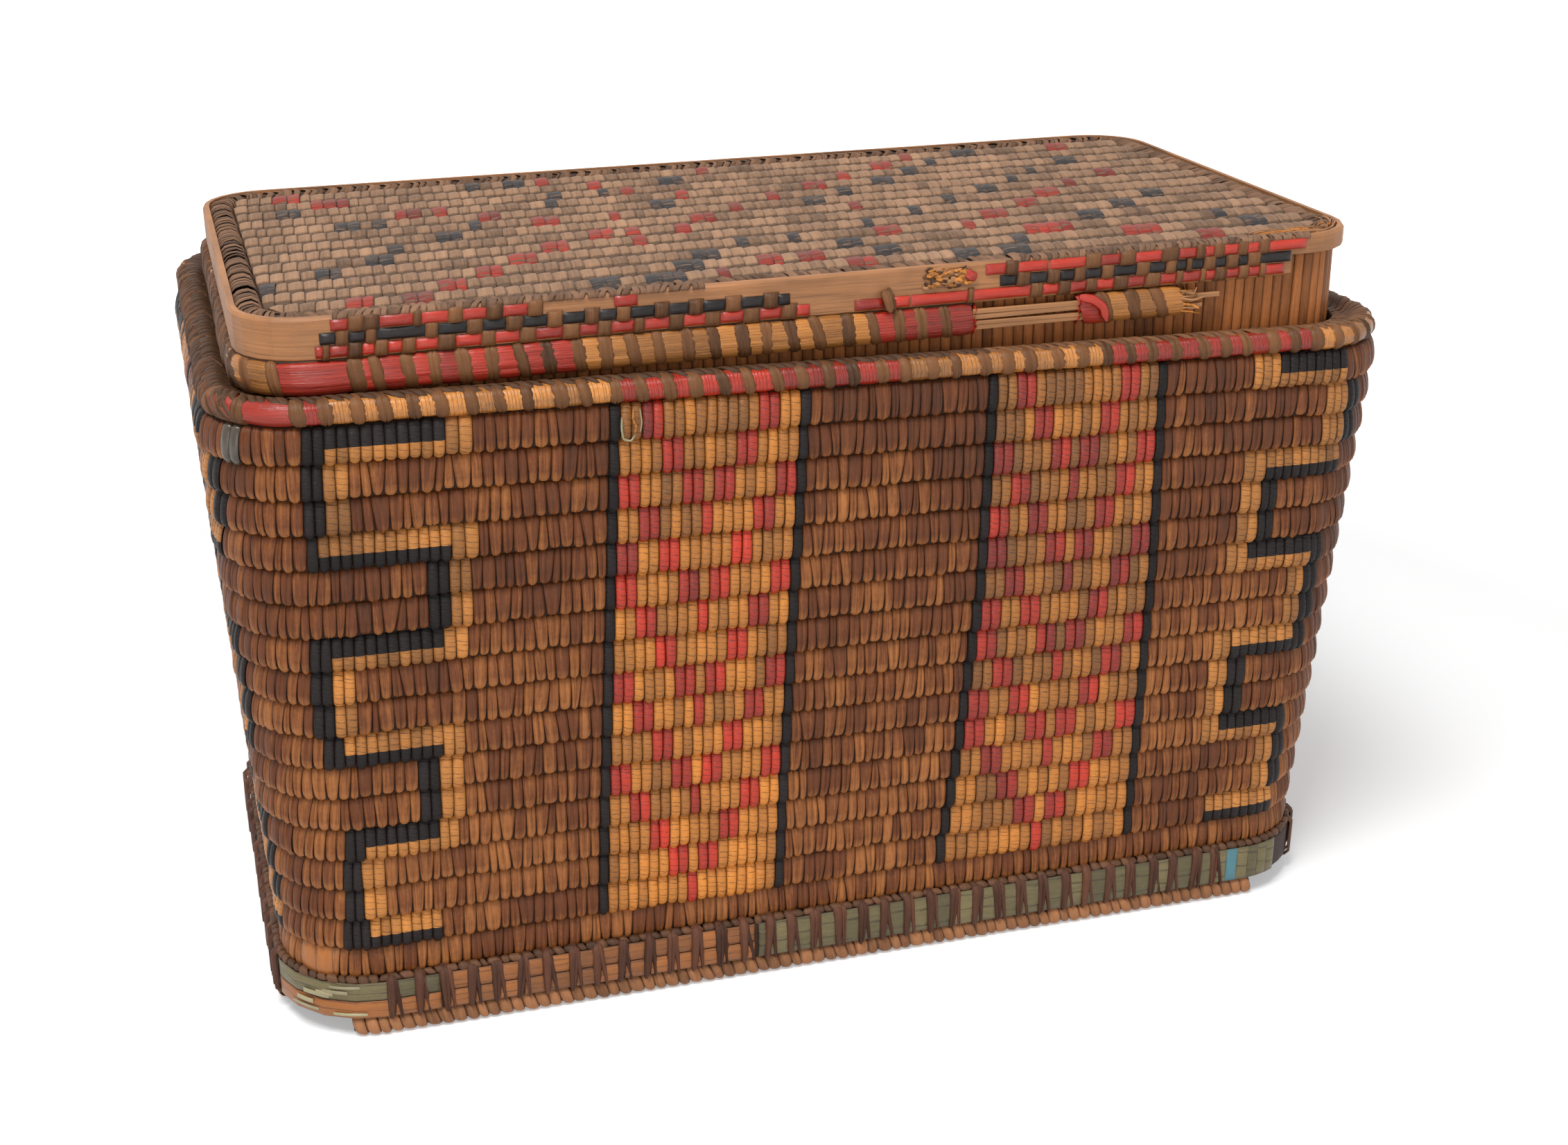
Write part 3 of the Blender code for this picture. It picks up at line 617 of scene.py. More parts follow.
def lay_core(sewing, coil, start, end, finish=CORE, depth=CORE_DEPTH, cap=None, seamed=False):
    """The bundle under the stitches, in short lengths, with a cap's finish where its ends are closed.

    A seamed one reaches its neighbours above and below.
    """
    points, ways, walked = section_lines(coil)
    edges = even(start, end, CORE_LENGTH)
    count = len(edges) - 1
    shares = np.linspace(0, 1, 5)
    run = edges[:-1, None, None] + (edges[1:] - edges[:-1])[:, None, None] * shares
    run = np.broadcast_to(run, (count, len(points), 5))
    sunk = points - ways * ((depth, -SEAM_LAP) if seamed else depth)
    out = np.broadcast_to(sunk[None, :, None, 0], run.shape)
    up = np.broadcast_to(sunk[None, :, None, 1], run.shape)
    grain = grain_over(run, walked[None, :, None] / CORE_STRAND, run, CORE_TONE)
    sewing.add(coil.path.place(run, out, up), grain, finish)
    if cap is not None:
        for edge, rows in ((start, slice(None, None, -1)), (end, slice(None))):
            middle = sunk.mean(0)
            ring = np.stack([sunk, (sunk + middle) / 2, np.repeat(middle[None], len(sunk), 0)], 1)[rows]
            spread = np.full(ring.shape[:2], edge)[None]
            place = coil.path.place(spread, ring[None, ..., 0], ring[None, ..., 1])
            sewing.add(place, grain_over(spread, 0.0, 0.0, CUT_TONE), cap)


def sew(sewing, coil, starts, ends, kinds, rng, **looks):
    """Sews closed stitches round a coil, with kinds as the finishes of their lower and upper outer face."""
    size = sizes()
    base = looks.get("base", ROOT)
    lean = looks.get("lean", 0.0)
    puff = looks.get("puff", size.puff)
    groove = looks.get("groove", size.groove)
    proud = looks.get("proud", size.straw_proud)
    face = looks.get("face", (0, 8))
    lower, upper = kinds
    count = len(starts)
    points, ways, walked = section_lines(coil)
    rows = len(points)
    number = np.arange(rows)
    share = points[:, 1] / coil.height
    outer = (number >= face[0]) & (number <= face[1])
    reach = looks.get("reach", walked[face[1]])
    walked = walked * reach / walked[face[1]]
    level = np.interp(walked, (0.0, reach, walked[-1]), (0.0, 1.0, 0.1))
    marked = (lower != base) & (lower != CORE)
    straw = marked & looks.get("straws", True)

    shift = rng.normal(0, looks.get("skew", 0.0), count + 1)
    calm = np.where(straw, 0.3, 1.0)
    shift[1:-1] *= np.minimum(calm[:-1], calm[1:])
    near = starts[:, None] + shift[:-1, None] * (level - 0.3)
    far = ends[:, None] + shift[1:, None] * (level - 0.3)
    widths = np.array(coil.section)[:, 2]
    widths = np.where(straw[:, None], np.maximum(widths, 0.90), widths)
    widths = widths * (1 - looks.get("point", 0.0) * (1 - 0.8 * straw)[:, None] * (1 - level) ** 2)
    middle, half = (near + far) / 2, (far - near) / 2 * widths
    split = (rng.uniform(0, 1, (count, 1, 1)) < looks.get("splits", 0.0)) & ~straw[:, None, None]
    across = np.where(split, SPLIT_ACROSS, ACROSS)
    slant = lean + rng.normal(0, looks.get("lean_jitter", 0.0), count)
    run = (middle + slant[:, None] * reach * (level - 0.5))[:, :, None] + half[:, :, None] * across

    dip = np.where(straw[:, None, None], np.abs(across) ** 7, np.abs(across) ** 5) * groove
    dome = np.where(straw, size.straw_dome, puff)[:, None, None] * rng.uniform(0.5, 1.5, (count, 1, 1))
    rise = dome * (1 - across**2) - dip - split * (across == 0) * size.split
    rise = rise + rng.normal(0, looks.get("uneven", 0.0), (count, 1, 1))
    rise = rise + looks.get("shingle", 0.0) * across * 0.5
    rise = rise + (marked[:, None] * outer * proud)[:, :, None]
    rise = rise + (outer * looks.get("lift", 0.0))[None, :, None]
    out, up = raised(points, ways, rise)
    hang = np.interp(share, (0.0, 0.06, 0.16), (1.0, 0.7, 0.0)) * (outer & (number < rows / 2))
    lobes = rng.uniform(0.1, 1.0, (count, 1, 1)) * looks.get("drop", 0.0) * (1 - across**2 * 0.55)
    up = up - lobes * hang[None, :, None]
    tones = looks.get("tones")
    if tones is None:
        tones = rng.uniform(0, 1, count)
    grain = grain_over(run, across, walked[None, :, None], tones[:, None, None])
    showing = (number >= face[0]) & (number < face[1])
    higher = (share + np.roll(share, -1)) / 2 > looks.get("split", 0.5)
    finish = np.where(higher[None, :], upper[:, None], lower[:, None])
    finish = np.where(showing[None, :], finish, base)
    finish = np.broadcast_to(finish[:, :, None], (count, rows, len(ACROSS) - 1))
    sewing.add(coil.path.place(run, out, up), grain, finish)


def wrap(sewing, coil, starts, ends, finish, rng, **looks):
    """Sews stitches that are all of one finish."""
    plain = np.full(len(starts), finish)
    sew(sewing, coil, starts, ends, (plain, plain), rng, base=finish, **looks)


def bead_coil(sewing, coil, start, end, rng, colour_at, wrap_lean=-0.13, long_bead=None, roped=()):
    """A straw coil held by flat root wraps: its straw pinched under each wrap, and the wraps over it.

    Where it is roped, the wraps lie side by side and hide the straw. A long bead has no wraps in it.
    """
    size = sizes()
    edges = even(start, end, size.bead, rng)
    if long_bead:
        apart = (edges < long_bead[0] - size.bead / 2) | (edges > long_bead[1] + size.bead / 2)
        edges = np.sort(np.append(edges[apart], long_bead))
    points, ways, walked = section_lines(coil, BEAD_POINTS)
    shares = np.array([0.0, 0.16, 0.26, 0.4, 0.6, 0.74, 0.84, 1.0])
    run = edges[:-1, None, None] + (edges[1:] - edges[:-1])[:, None, None] * shares
    run = run + wrap_lean * (np.minimum(walked, walked[-1] - walked) - walked[-1] / 4)[None, :, None]
    swell = size.straw_swell * np.sin(np.pi * shares) ** 0.7 - size.straw_sunk
    ridge = rng.normal(0, size.straw_ridge, (len(edges) - 1, len(points), 1))
    rise = swell[None, None, :] + ridge
    out, up = raised(points, ways, rise)
    tone = rng.uniform(0, 1, (len(edges) - 1, 1, 1))
    grain = grain_over(run, walked[None, :, None] / size.straw_ridge_width, run, tone)
    middles = (edges[:-1] + edges[1:]) / 2
    finish = np.array([colour_at(middle) for middle in middles])
    if long_bead:
        finish[(middles > long_bead[0]) & (middles < long_bead[1])] = BEAD_RED
    sewing.add(coil.path.place(run, out, up), grain, finish[:, None, None])

    middles = edges[1:-1] + rng.normal(0, 0.0003, len(edges) - 2)
    half = size.bead_wrap / 2 * rng.uniform(0.84, 1.14, len(middles))
    looks = dict(puff=size.wrap_rise, groove=size.wrap_rise, splits=0.5)
    wrap(sewing, coil, middles - half, middles + half, RIM_ROOT, rng, lean=wrap_lean, lean_jitter=0.05,
         **looks)
    for first, last in roped:
        edges = even(first, last, size.rope, rng, jitter=0.2)
        wrap(sewing, coil, edges[:-1], edges[1:], ROPE, rng, lean=-1.05, lean_jitter=0.08, uneven=0.0003,
             **looks)


def beaded_end(sewing, coil, edge, way, rng, finish):
    """Closes a coil's cut end with a ragged bundle of straws."""
    points = section_lines(coil, BEAD_POINTS)[0]
    middle = points.mean(0)
    shares = np.array([1.0, 0.8, 0.5, 0.2, 0.0])
    ring = middle + (points - middle)[:, None, :] * shares[None, :, None]
    spread = edge + way * rng.uniform(0, RAGGED, ring.shape[:2])
    rows = slice(None) if way > 0 else slice(None, None, -1)
    ring, spread = ring[rows][None], spread[rows][None]
    place = coil.path.place(spread, ring[..., 0], ring[..., 1])
    sewing.add(place, grain_over(spread, 0.0, 0.0, RAGGED_TONE), finish)


def pillows(sewing, path, spans, low, high, finish, rng, rise, base, upright=False, lean=0.0):
    """Small puffed patches on a face: a strip that shows between wraps, or a wrap over a strip."""
    spans = np.array(spans, dtype=float).reshape(-1, 2)
    count = len(spans)
    share = np.array([0.0, 0.07, 0.3, 0.5, 0.7, 0.93, 1.0])
    mid, half = spans.mean(1)[:, None, None], (np.diff(spans, axis=1)[:, 0] / 2)[:, None, None]
    across = ACROSS[None, None, :]
    upward = share[None, :, None]
    run = mid + half * across + lean * (high - low) * (upward - 0.5)
    side = (1 - across**4) if upright else (1 - np.abs(across) ** 5)
    ends = 1 - np.abs(2 * upward - 1) ** (6 if upright else 4)
    swell = rise * rng.uniform(0.8, 1.2, (count, 1, 1))
    out = np.broadcast_to(base + swell * side * ends, run.shape)
    up = np.broadcast_to(low + (high - low) * upward, run.shape)
    tone = rng.uniform(0, 1, (count, 1, 1))
    grain = grain_over(run, across, up, tone) if upright else grain_over(run, 2 * upward - 1, run, tone)
    sewing.add(path.place(run, out, up), grain, finish, closed=False)


def even(start, end, pitch, rng=None, jitter=0.1):
    """Edges of stitches of about this pitch that fill a run."""
    count = max(1, round((end - start) / pitch))
    edges = np.linspace(start, end, count + 1)
    if rng is not None and count > 1:
        edges[1:-1] += rng.uniform(-jitter, jitter, count - 1) * (end - start) / count
    return edges


def fret_rows(text):
    """The spans of a fret, row by row: a list of kind, start and end in metres."""
    rows = []
    for row in text.strip().splitlines():
        words = row.split()
        marks = [(word[0], float(word[1:]) / 1000) for word in words[:-1]]
        stops = [start for _, start in marks[1:]] + [float(words[-1]) / 1000]
        rows.append([(kind, start, stop) for (kind, start), stop in zip(marks, stops)])
    return rows


def panel_span(table, row):
    rows = [entry[0] for entry in table]
    return tuple(np.interp(row, rows, [entry[i] for entry in table]) / 1000 for i in (1, 2))


def panel_kinds(row, count, extra=False):
    """The red and gold straws of a panel's row: zigzags that mirror about its middle stitch."""
    kinds = []
    for k in range(count):
        d = abs(k - count // 2)
        red = (d + 2 * (row % 3)) % 6 in (1, 2)
        if row == 1:
            red = red and d > 2
        if row == 15:
            red = red and d <= 2
        if row == 16:
            red = d == 0
        if extra and k < 2:
            red = True
        kinds.append("r" if red else "g")
    if row == 1:
        kinds[0] = kinds[1] = "t"
    return kinds


def course_pattern(row, ring):
    """The straw stitches of a course, as kind, start and end, all round the trunk."""
    straw = sizes().straw
    found = []
    left_frets, right_frets = fret_rows(LEFT_FRET), fret_rows(RIGHT_FRET)
    if row > len(left_frets):
        return [LOW_STRAW]
    if row == 1:
        edges = even(*RESIN_RUN, straw)
        found.extend(("z", a, b) for a, b in zip(edges, edges[1:]))
    left, right = left_frets[row - 1], right_frets[row - 1]

    def lay_fret(spans, shift):
        for kind, start, stop in spans:
            edges = even(start + shift, stop + shift, straw)
            found.extend((kind, a, b) for a, b in zip(edges, edges[1:]))

    def lay_panel(start, stop, count, extra=False):
        edges = np.linspace(start, stop, count + 1)
        found.append(("k", start - PANEL_EDGE, start))
        found.extend((kind, a, b) for kind, a, b in zip(panel_kinds(row, count, extra), edges, edges[1:]))
        found.append(("k", stop, stop + PANEL_EDGE))

    back = ring.around / 2
    for shift in (0.0, back):
        lay_fret(left, shift)
        lay_fret(right, shift)
        lay_panel(*(run + shift for run in panel_span(LEFT_PANEL, row)), PANEL_STITCHES, row == 5)
        lay_panel(*(run + shift for run in panel_span(RIGHT_PANEL, row)), PANEL_STITCHES, row in (5, 8, 11))
    nearer = ring.front - ring.side + END_SHIFT
    for middle in (ring.end_middle, -ring.end_middle):
        lay_fret(left, middle + nearer)
        lay_fret(right, middle - nearer)
        lay_panel(middle - END_PANEL, middle + END_PANEL, END_STITCHES)
    return found


def fill_course(pattern, around, pitch, rng):
    """All the stitches of a course: the pattern, and plain stitches in the gaps."""
    begin = -around / 2
    spans = sorted(((start - begin) % around, stop - start, kind) for kind, start, stop in pattern)
    starts, ends, kinds = [], [], []

    def fill(a, b):
        if b - a < pitch * 0.35:
            return
        edges = even(a, b, pitch, rng, jitter=0.22)
        starts.extend(edges[:-1])
        ends.extend(edges[1:])
        kinds.extend("n" * (len(edges) - 1))

    reached = 0.0
    for start, wide, kind in spans:
        if start < reached - 0.0005:
            continue
        fill(reached, start)
        starts.append(start)
        ends.append(start + wide)
        kinds.append(kind)
        reached = start + wide
    fill(reached, around)
    return np.array(starts) + begin, np.array(ends) + begin, kinds


def slow_tones(starts, rng, spread=0.55):
    """A tone for each stitch: mostly its own, with some drift along the run."""
    waves = sum(np.sin(starts * rate + rng.uniform(0, 6)) for rate in (37, 83, 151)) / 6 + 0.5
    return np.clip(waves * (1 - spread) + rng.uniform(0, 1, len(starts)) * spread, 0, 1)


# Finishes


def put(tree, kind, inputs=None, **settings):
    """A node with its settings, and its inputs linked or set."""
    node = tree.nodes.new(kind)
    for key, value in settings.items():
        setattr(node, key, value)
    for key, value in (inputs or {}).items():
        if isinstance(value, bpy.types.NodeSocket):
            tree.links.new(value, node.inputs[key])
        else:
            node.inputs[key].default_value = value
    return node


def sum_of(tree, operation, *values, clamp=False):
    node = put(tree, "ShaderNodeMath", dict(enumerate(values)), operation=operation, use_clamp=clamp)
    return node.outputs[0]


def sums(tree):
    """Addition, subtraction and multiplication in a node tree."""
    return [partial(sum_of, tree, operation) for operation in ("ADD", "SUBTRACT", "MULTIPLY")]


def noise(tree, place, scale, detail, roughness=0.5):
    inputs = {"Vector": place, "Scale": scale, "Detail": detail, "Roughness": roughness}
    return put(tree, "ShaderNodeTexNoise", inputs).outputs[0]


def stretched(tree, place, *scales):
    """A place for a noise, stretched along each axis."""
    scales = put(tree, "ShaderNodeCombineXYZ", dict(enumerate(scales))).outputs[0]
    return put(tree, "ShaderNodeVectorMath", {0: place, 1: scales}, operation="MULTIPLY").outputs[0]


def mixed(tree, factor, first, second):
    return put(tree, "ShaderNodeMix", {0: factor, 6: first, 7: second}, data_type="RGBA").outputs[2]


def group(name, inputs, outputs):
    """An empty node group, whose inputs are a vector with no default, colours, and numbers."""
    tree = bpy.data.node_groups.new(name, "ShaderNodeTree")
    for label, value in inputs.items():
        kind = "Vector" if value is None else "Float" if isinstance(value, float) else "Color"
        socket = tree.interface.new_socket(name=label, in_out="INPUT", socket_type="NodeSocket" + kind)
        if value is not None:
            socket.default_value = value
    for label, kind in outputs.items():
        tree.interface.new_socket(name=label, in_out="OUTPUT", socket_type="NodeSocket" + kind)
    return tree, tree.nodes.new("NodeGroupInput").outputs, tree.nodes.new("NodeGroupOutput").inputs


def strand_group():
    """Split root or straw: fibres along it, cracks across it, its own tone, edges darkened by dirt and
    painted shade, painted light at its tip, and worn spots.
    """
    blank = (0, 0, 0, 1)
    inputs = {
        "Grain": None, "Dark": blank, "Mid": blank, "Light": blank, "Worn": blank, "Across": 4.0,
        "Along": 90.0, "Fibre": 0.5, "Spread": 0.6, "Patches": 0.5, "Edge Dirt And Shade": 0.5, "Wear": 0.2, "Cracks": 0.0,
        "Crack Across": 0.12, "Crack Along": 330.0, "Painted Tip Light": 0.0, "Tip Length": 130.0,
    }
    tree, given, out = group("Strand", inputs, {"Color": "Color", "Height": "Float"})
    plus, minus, times = sums(tree)
    across, along, own = put(tree, "ShaderNodeSeparateXYZ", {0: given["Grain"]}).outputs
    place = stretched(tree, given["Grain"], given["Across"], given["Along"], 61.0)
    spot = put(tree, "ShaderNodeTexCoord").outputs["Object"]
    fibre = noise(tree, place, 1.0, 4.0, 0.65)
    patch = noise(tree, spot, 16.0, 3.0)
    fine = noise(tree, spot, 420.0, 4.0, 0.7)
    rubbed = noise(tree, place, 0.45, 5.0, 0.75)

    # Cracks are lines between cells along the strand, which the fibre bends a little
    walk = plus(times(across, given["Crack Across"]), times(minus(fibre, 0.5), 0.5))
    walk = plus(plus(walk, times(along, given["Crack Along"])), times(own, 71.0))
    cells = {"voronoi_dimensions": "1D", "feature": "DISTANCE_TO_EDGE"}
    cell = put(tree, "ShaderNodeTexVoronoi", {"W": walk, "Scale": 1.0}, **cells).outputs[0]
    crack = times(minus(1.0, times(cell, 12.0), clamp=True), given["Cracks"])

    # The tone is the strand's own, with streaks, clouds and specks, and painted light at its tip, which
    # lightens it for a painted highlight and, at a negative strength, darkens it for painted shade
    tone = plus(times(minus(own, 0.5), given["Spread"]), times(minus(fibre, 0.5), given["Fibre"]))
    cloud = plus(times(minus(patch, 0.5), given["Patches"]), times(minus(fine, 0.5), 0.35))
    tip_light = times(minus(1.0, times(along, given["Tip Length"]), clamp=True), given["Painted Tip Light"])
    tone = plus(plus(plus(tone, cloud), times(tip_light, patch)), 0.5, clamp=True)
    low = times(tone, 2.0, clamp=True)
    high = minus(times(tone, 2.0), 1.0, clamp=True)
    shade = mixed(tree, high, mixed(tree, low, given["Dark"], given["Mid"]), given["Light"])

    worn = times(minus(rubbed, minus(0.78, times(given["Wear"], 0.35))), 14.0, clamp=True)
    # Dirt and painted shade turn a stitch's edges nearly black in the grooves between stitches, and its
    # cracks show dark
    edge = sum_of(tree, "POWER", sum_of(tree, "ABSOLUTE", across), 9.0, clamp=True)
    dirt_and_shade = sum_of(tree, "MAXIMUM", times(edge, given["Edge Dirt And Shade"]), times(crack, 0.8))
    shade = mixed(tree, dirt_and_shade, mixed(tree, worn, shade, given["Worn"]), (0.012, 0.005, 0.003, 1))
    tree.links.new(shade, out["Color"])
    height = minus(plus(fibre, times(fine, 0.3)), times(crack, 0.7))
    tree.links.new(minus(height, times(worn, 0.4)), out["Height"])
    return tree


def wood_group():
    """Bare split wood: long grain lines along the band, short cracks, and stains."""
    blank = (0, 0, 0, 1)
    inputs = {"Dark": blank, "Light": blank, "Lines": 1100.0, "Stains": 1.1}
    tree, given, out = group("Bare wood", inputs, {"Color": "Color", "Height": "Float"})
    plus, minus, times = sums(tree)
    spot = put(tree, "ShaderNodeTexCoord").outputs["Object"]
    place = stretched(tree, spot, 22.0, 22.0, given["Lines"])
    lines = noise(tree, place, 1.0, 5.0, 0.7)
    crack = times(minus(0.39, noise(tree, place, 0.3, 3.0)), 16.0, clamp=True)
    stained = times(minus(noise(tree, spot, 26.0, 4.0), 0.5), given["Stains"])
    tone = plus(times(minus(lines, 0.2), 1.3), stained, clamp=True)
    shade = mixed(tree, tone, given["Dark"], given["Light"])
    tree.links.new(mixed(tree, crack, shade, given["Dark"]), out["Color"])
    tree.links.new(minus(lines, times(crack, 0.6)), out["Height"])
    return tree


def shaded(rgb, factor):
    return (*(min(1.0, value * factor) for value in rgb), 1)


def grouped_material(name, rgb, tree, inputs, roughness, bump, bump_depth):
    """A material with its colour and bump from a group, and the inputs of its plain shader."""
    material = bpy.data.materials.new(name)
    material.use_nodes = True
    material.diffuse_color = shaded(rgb, 1.0)
    nodes = material.node_tree
    shader = nodes.nodes["Principled BSDF"].inputs
    made = put(nodes, "ShaderNodeGroup", inputs, node_tree=tree)
    if "Grain" in made.inputs:
        grain = put(nodes, "ShaderNodeAttribute", attribute_name="grain").outputs["Vector"]
        nodes.links.new(grain, made.inputs["Grain"])
    height = {"Height": made.outputs["Height"], "Strength": bump, "Distance": bump_depth}
    nodes.links.new(made.outputs["Color"], shader["Base Color"])
    nodes.links.new(put(nodes, "ShaderNodeBump", height).outputs[0], shader["Normal"])
    shader["Roughness"].default_value = roughness
    return material, shader


def strand_material(name, rgb, tree, roughness, dark, light, coat=0.0, bump=0.35, shine=0.25, **values):
    """Root or straw, from dark to light shares of its colour."""
    shares = {"Dark": dark, "Mid": 1.0, "Light": light, "Worn": 0.5}
    inputs = {label: shaded(rgb, share) for label, share in shares.items()}
    material, shader = grouped_material(name, rgb, tree, {**inputs, **values}, roughness, bump, 0.0012)
    shader["Specular IOR Level"].default_value = shine
    shader["Coat Weight"].default_value = coat
    shader["Coat Roughness"].default_value = 0.2
    return material


def wood_material(name, rgb, tree, **values):
    """Bare slat or splint."""
    inputs = {"Dark": shaded(rgb, 0.5), "Light": shaded(rgb, 1.45), **values}
    return grouped_material(name, rgb, tree, inputs, 0.55, 0.3, 0.0008)[0]


def finishes():
    """Every finish of the trunk, by its number. They are made once."""
    if "Wall root" in bpy.data.materials:
        return {int(m["finish"]): m for m in bpy.data.materials if "finish" in m}
    hues = bpy.context.scene.trunk_colours
    root = {
        "Across": 2.6, "Along": 45.0, "Fibre": 1.1, "Spread": 0.65, "Patches": 0.6, "Edge Dirt And Shade": 0.75,
        "Wear": 0.15, "bump": 0.5,
    }
    # The wall's stitches carry a painted highlight at their lower tips, where they bulge out
    wall = {**root, "Light": shaded(hues.pale_root, 1.0), "Painted Tip Light": 1.2, "Edge Dirt And Shade": 0.5}
    # The lid's rows carry painted shade, with some dirt, low on their front faces under each row's crest
    lid = {**root, "Spread": 0.9, "Painted Tip Light": -8.0, "Tip Length": 100.0}
    straw = {
        "Across": 0.7, "Along": 1100.0, "Fibre": 0.6, "Spread": 1.05, "Patches": 0.5, "Edge Dirt And Shade": 0.8,
        "Wear": 0.35, "Cracks": 0.85, "Worn": shaded(hues.root, 0.4), "shine": 0.38, "bump": 0.5,
    }
    faded = {**straw, "Wear": 0.75, "Worn": shaded(hues.lid_root, 0.6), "shine": 0.3}
    bead = {
        "Across": 1.3, "Along": 26.0, "Fibre": 1.0, "Spread": 0.6, "Patches": 0.3, "Edge Dirt And Shade": 0.0, "Wear": 0.1,
        "Cracks": 0.55, "Crack Across": 1.15, "Crack Along": 5.0, "coat": 0.12, "shine": 0.4, "bump": 0.5,
    }
    wound = {
        **bead, "Across": 0.4, "Along": 900.0, "Cracks": 0.8, "Crack Across": 0.08, "Crack Along": 520.0,
    }
    strip = {
        "Across": 2.0, "Along": 60.0, "Fibre": 0.7, "Spread": 0.6, "Patches": 0.3, "Edge Dirt And Shade": 0.5, "Wear": 0.1,
        "coat": 0.12, "shine": 0.4,
    }
    grass = {
        **strip, "Across": 5.0, "Along": 40.0, "Wear": 0.3, "Cracks": 0.8, "Crack Across": 1.1,
        "Crack Along": 6.0,
    }
    resin = {"Spread": 0.3, "Patches": 0.8, "coat": 0.6}

    # Each finish with its name, its colour, its roughness, the shares of that colour where it is dark and
    # where it is light, and its looks
    strands = (
        (ROOT, "Wall root", hues.root, 0.42, 0.35, 1.65, wall),
        (CORE, "Dark core", hues.core, 0.9, 0.42, 1.65, {"Edge Dirt And Shade": 0.0, "Spread": 0.2}),
        (GOLD, "Gold straw", hues.gold, 0.34, 0.42, 1.7, {**straw, "Wear": 0.4, "coat": 0.12}),
        (RED, "Red straw", hues.red, 0.34, 0.45, 1.6, {**straw, "coat": 0.15}),
        (BLACK, "Black straw", hues.black, 0.42, 0.55, 1.8, {**straw, "shine": 0.18}),
        (TAN, "Tan straw", hues.tan, 0.4, 0.5, 1.6, straw),
        (RIM_ROOT, "Rim root", hues.rim_root, 0.48, 0.35, 1.5, root),
        (LID_ROOT, "Weathered lid root", hues.lid_root, 0.62, 0.38, 1.5, lid),
        (LID_RED, "Faded red straw", hues.lid_red, 0.45, 0.4, 1.5, faded),
        (LID_BLACK, "Faded black straw", hues.lid_black, 0.5, 0.5, 1.7, faded),
        (BORDER, "Worn border root", hues.border, 0.7, 0.35, 1.6, {**root, "Wear": 0.5}),
        (COLLAR, "Collar root", hues.collar, 0.5, 0.42, 1.65, root),
        (ROPE, "Rope root", hues.rope, 0.5, 0.4, 1.7, root),
        (PLAIT, "Plaited root", hues.plait, 0.55, 0.42, 1.65, root),
        (FOOT_ROOT, "Dark foot root", hues.foot_root, 0.55, 0.42, 1.65, root),
        (FOOT_COIL, "Light foot root", hues.foot_coil, 0.6, 0.45, 1.4, root),
        (RESIN, "Dried resin", hues.resin, 0.22, 0.42, 1.65, resin),
        (BEAD_RED, "Red bead straw", hues.bead_red, 0.28, 0.45, 1.5, bead),
        (BEAD_GOLD, "Gold bead straw", hues.bead_gold, 0.32, 0.45, 1.4, bead),
        (WOUND_RED, "Wound red straw", hues.bead_red, 0.28, 0.45, 1.6, wound),
        (WOUND_GOLD, "Wound gold straw", hues.bead_gold, 0.32, 0.4, 1.8, {**wound, "coat": 0.25}),
        (STRIP_RED, "Red strip", hues.strip_red, 0.34, 0.5, 1.6, strip),
        (STRIP_BLACK, "Black strip", hues.black, 0.36, 0.5, 1.9, {**strip, "coat": 0.05, "shine": 0.25}),
        (PALE_GRASS, "Pale grass", hues.pale_grass, 0.3, 0.6, 1.4, strip),
        (TURQUOISE, "Turquoise grass", hues.turquoise, 0.4, 0.6, 1.4, strip),
        (GREEN, "Green grass", hues.green, 0.42, 0.45, 1.9, {**grass, "coat": 0.1}),
        (GRASS_GOLD, "Gold grass", hues.grass_gold, 0.38, 0.42, 1.5, grass),
    )
    strand, wood = strand_group(), wood_group()
    made = {
        SLAT: wood_material("Bare slat", hues.slat, wood),
        SPLINT: wood_material("Broken splint", hues.splint, wood, Lines=1400.0, Stains=0.5),
    }
    for number, name, hue, roughness, dark, light, looks in strands:
        made[number] = strand_material(name, hue, strand, roughness, dark, light, **looks)
    for number, material in made.items():
        material["finish"] = number
    return made


# The trunk's pieces


def sew_wall():
    size = sizes()
    tilt = rim_tilt()
    names = sorted(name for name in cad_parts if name.startswith("wall_course"))
    for row, name in enumerate(names, 1):
        rng = np.random.default_rng(100 + row)
        share = 1 - (row - 0.5) / len(names)
        ring, height = wall_ring(name, size.wall_radius, tilt * share)
        sewing = Sewing(f"stitches_course_{row:02d}")
        starts, ends, kinds = fill_course(course_pattern(row, ring), ring.around, size.stitch, rng)
        lower = np.array([LOWER[kind] for kind in kinds])
        upper = np.array([UPPER[kind] for kind in kinds])
        # A run of the front is made a step darker
        in_darker_run = (starts > DARKER_RUN[0]) & (starts < DARKER_RUN[1])
        # Painted shade: the courses darken a step at a time towards the rim
        tones = np.clip(slow_tones(starts, rng) + (row - LEVEL_ROW) * ROW_SHADE_STEP - in_darker_run * DARKER_RUN_STEP, 0, 1)
        coil = Coil(ring, COURSE, size.course_thickness, height)
        lay_core(sewing, coil, -ring.around / 2, ring.around / 2, seamed=True)
        sew(sewing, coil, starts, ends, (lower, upper), rng, tones=tones, drop=size.stitch_hang,
            skew=size.skew, uneven=size.uneven, lean=0.03, splits=0.5, point=0.25)
        for places, width, finish in LOOSE.get(row, ()):
            ribbon(sewing, ring, np.array(places) / 1000, width / 1000, finish)
        sewing.make("trunk", name)


def colour_from(table, around, letters):
    """Says which bead goes at a run: the back repeats the front, and the ends are gold."""

    def pick(run):
        along = (run + around / 4) % (around / 2) - around / 4
        for stop, letter in table:
            if along < stop / 1000:
                return letters[letter]
        return letters["g"]

    return pick


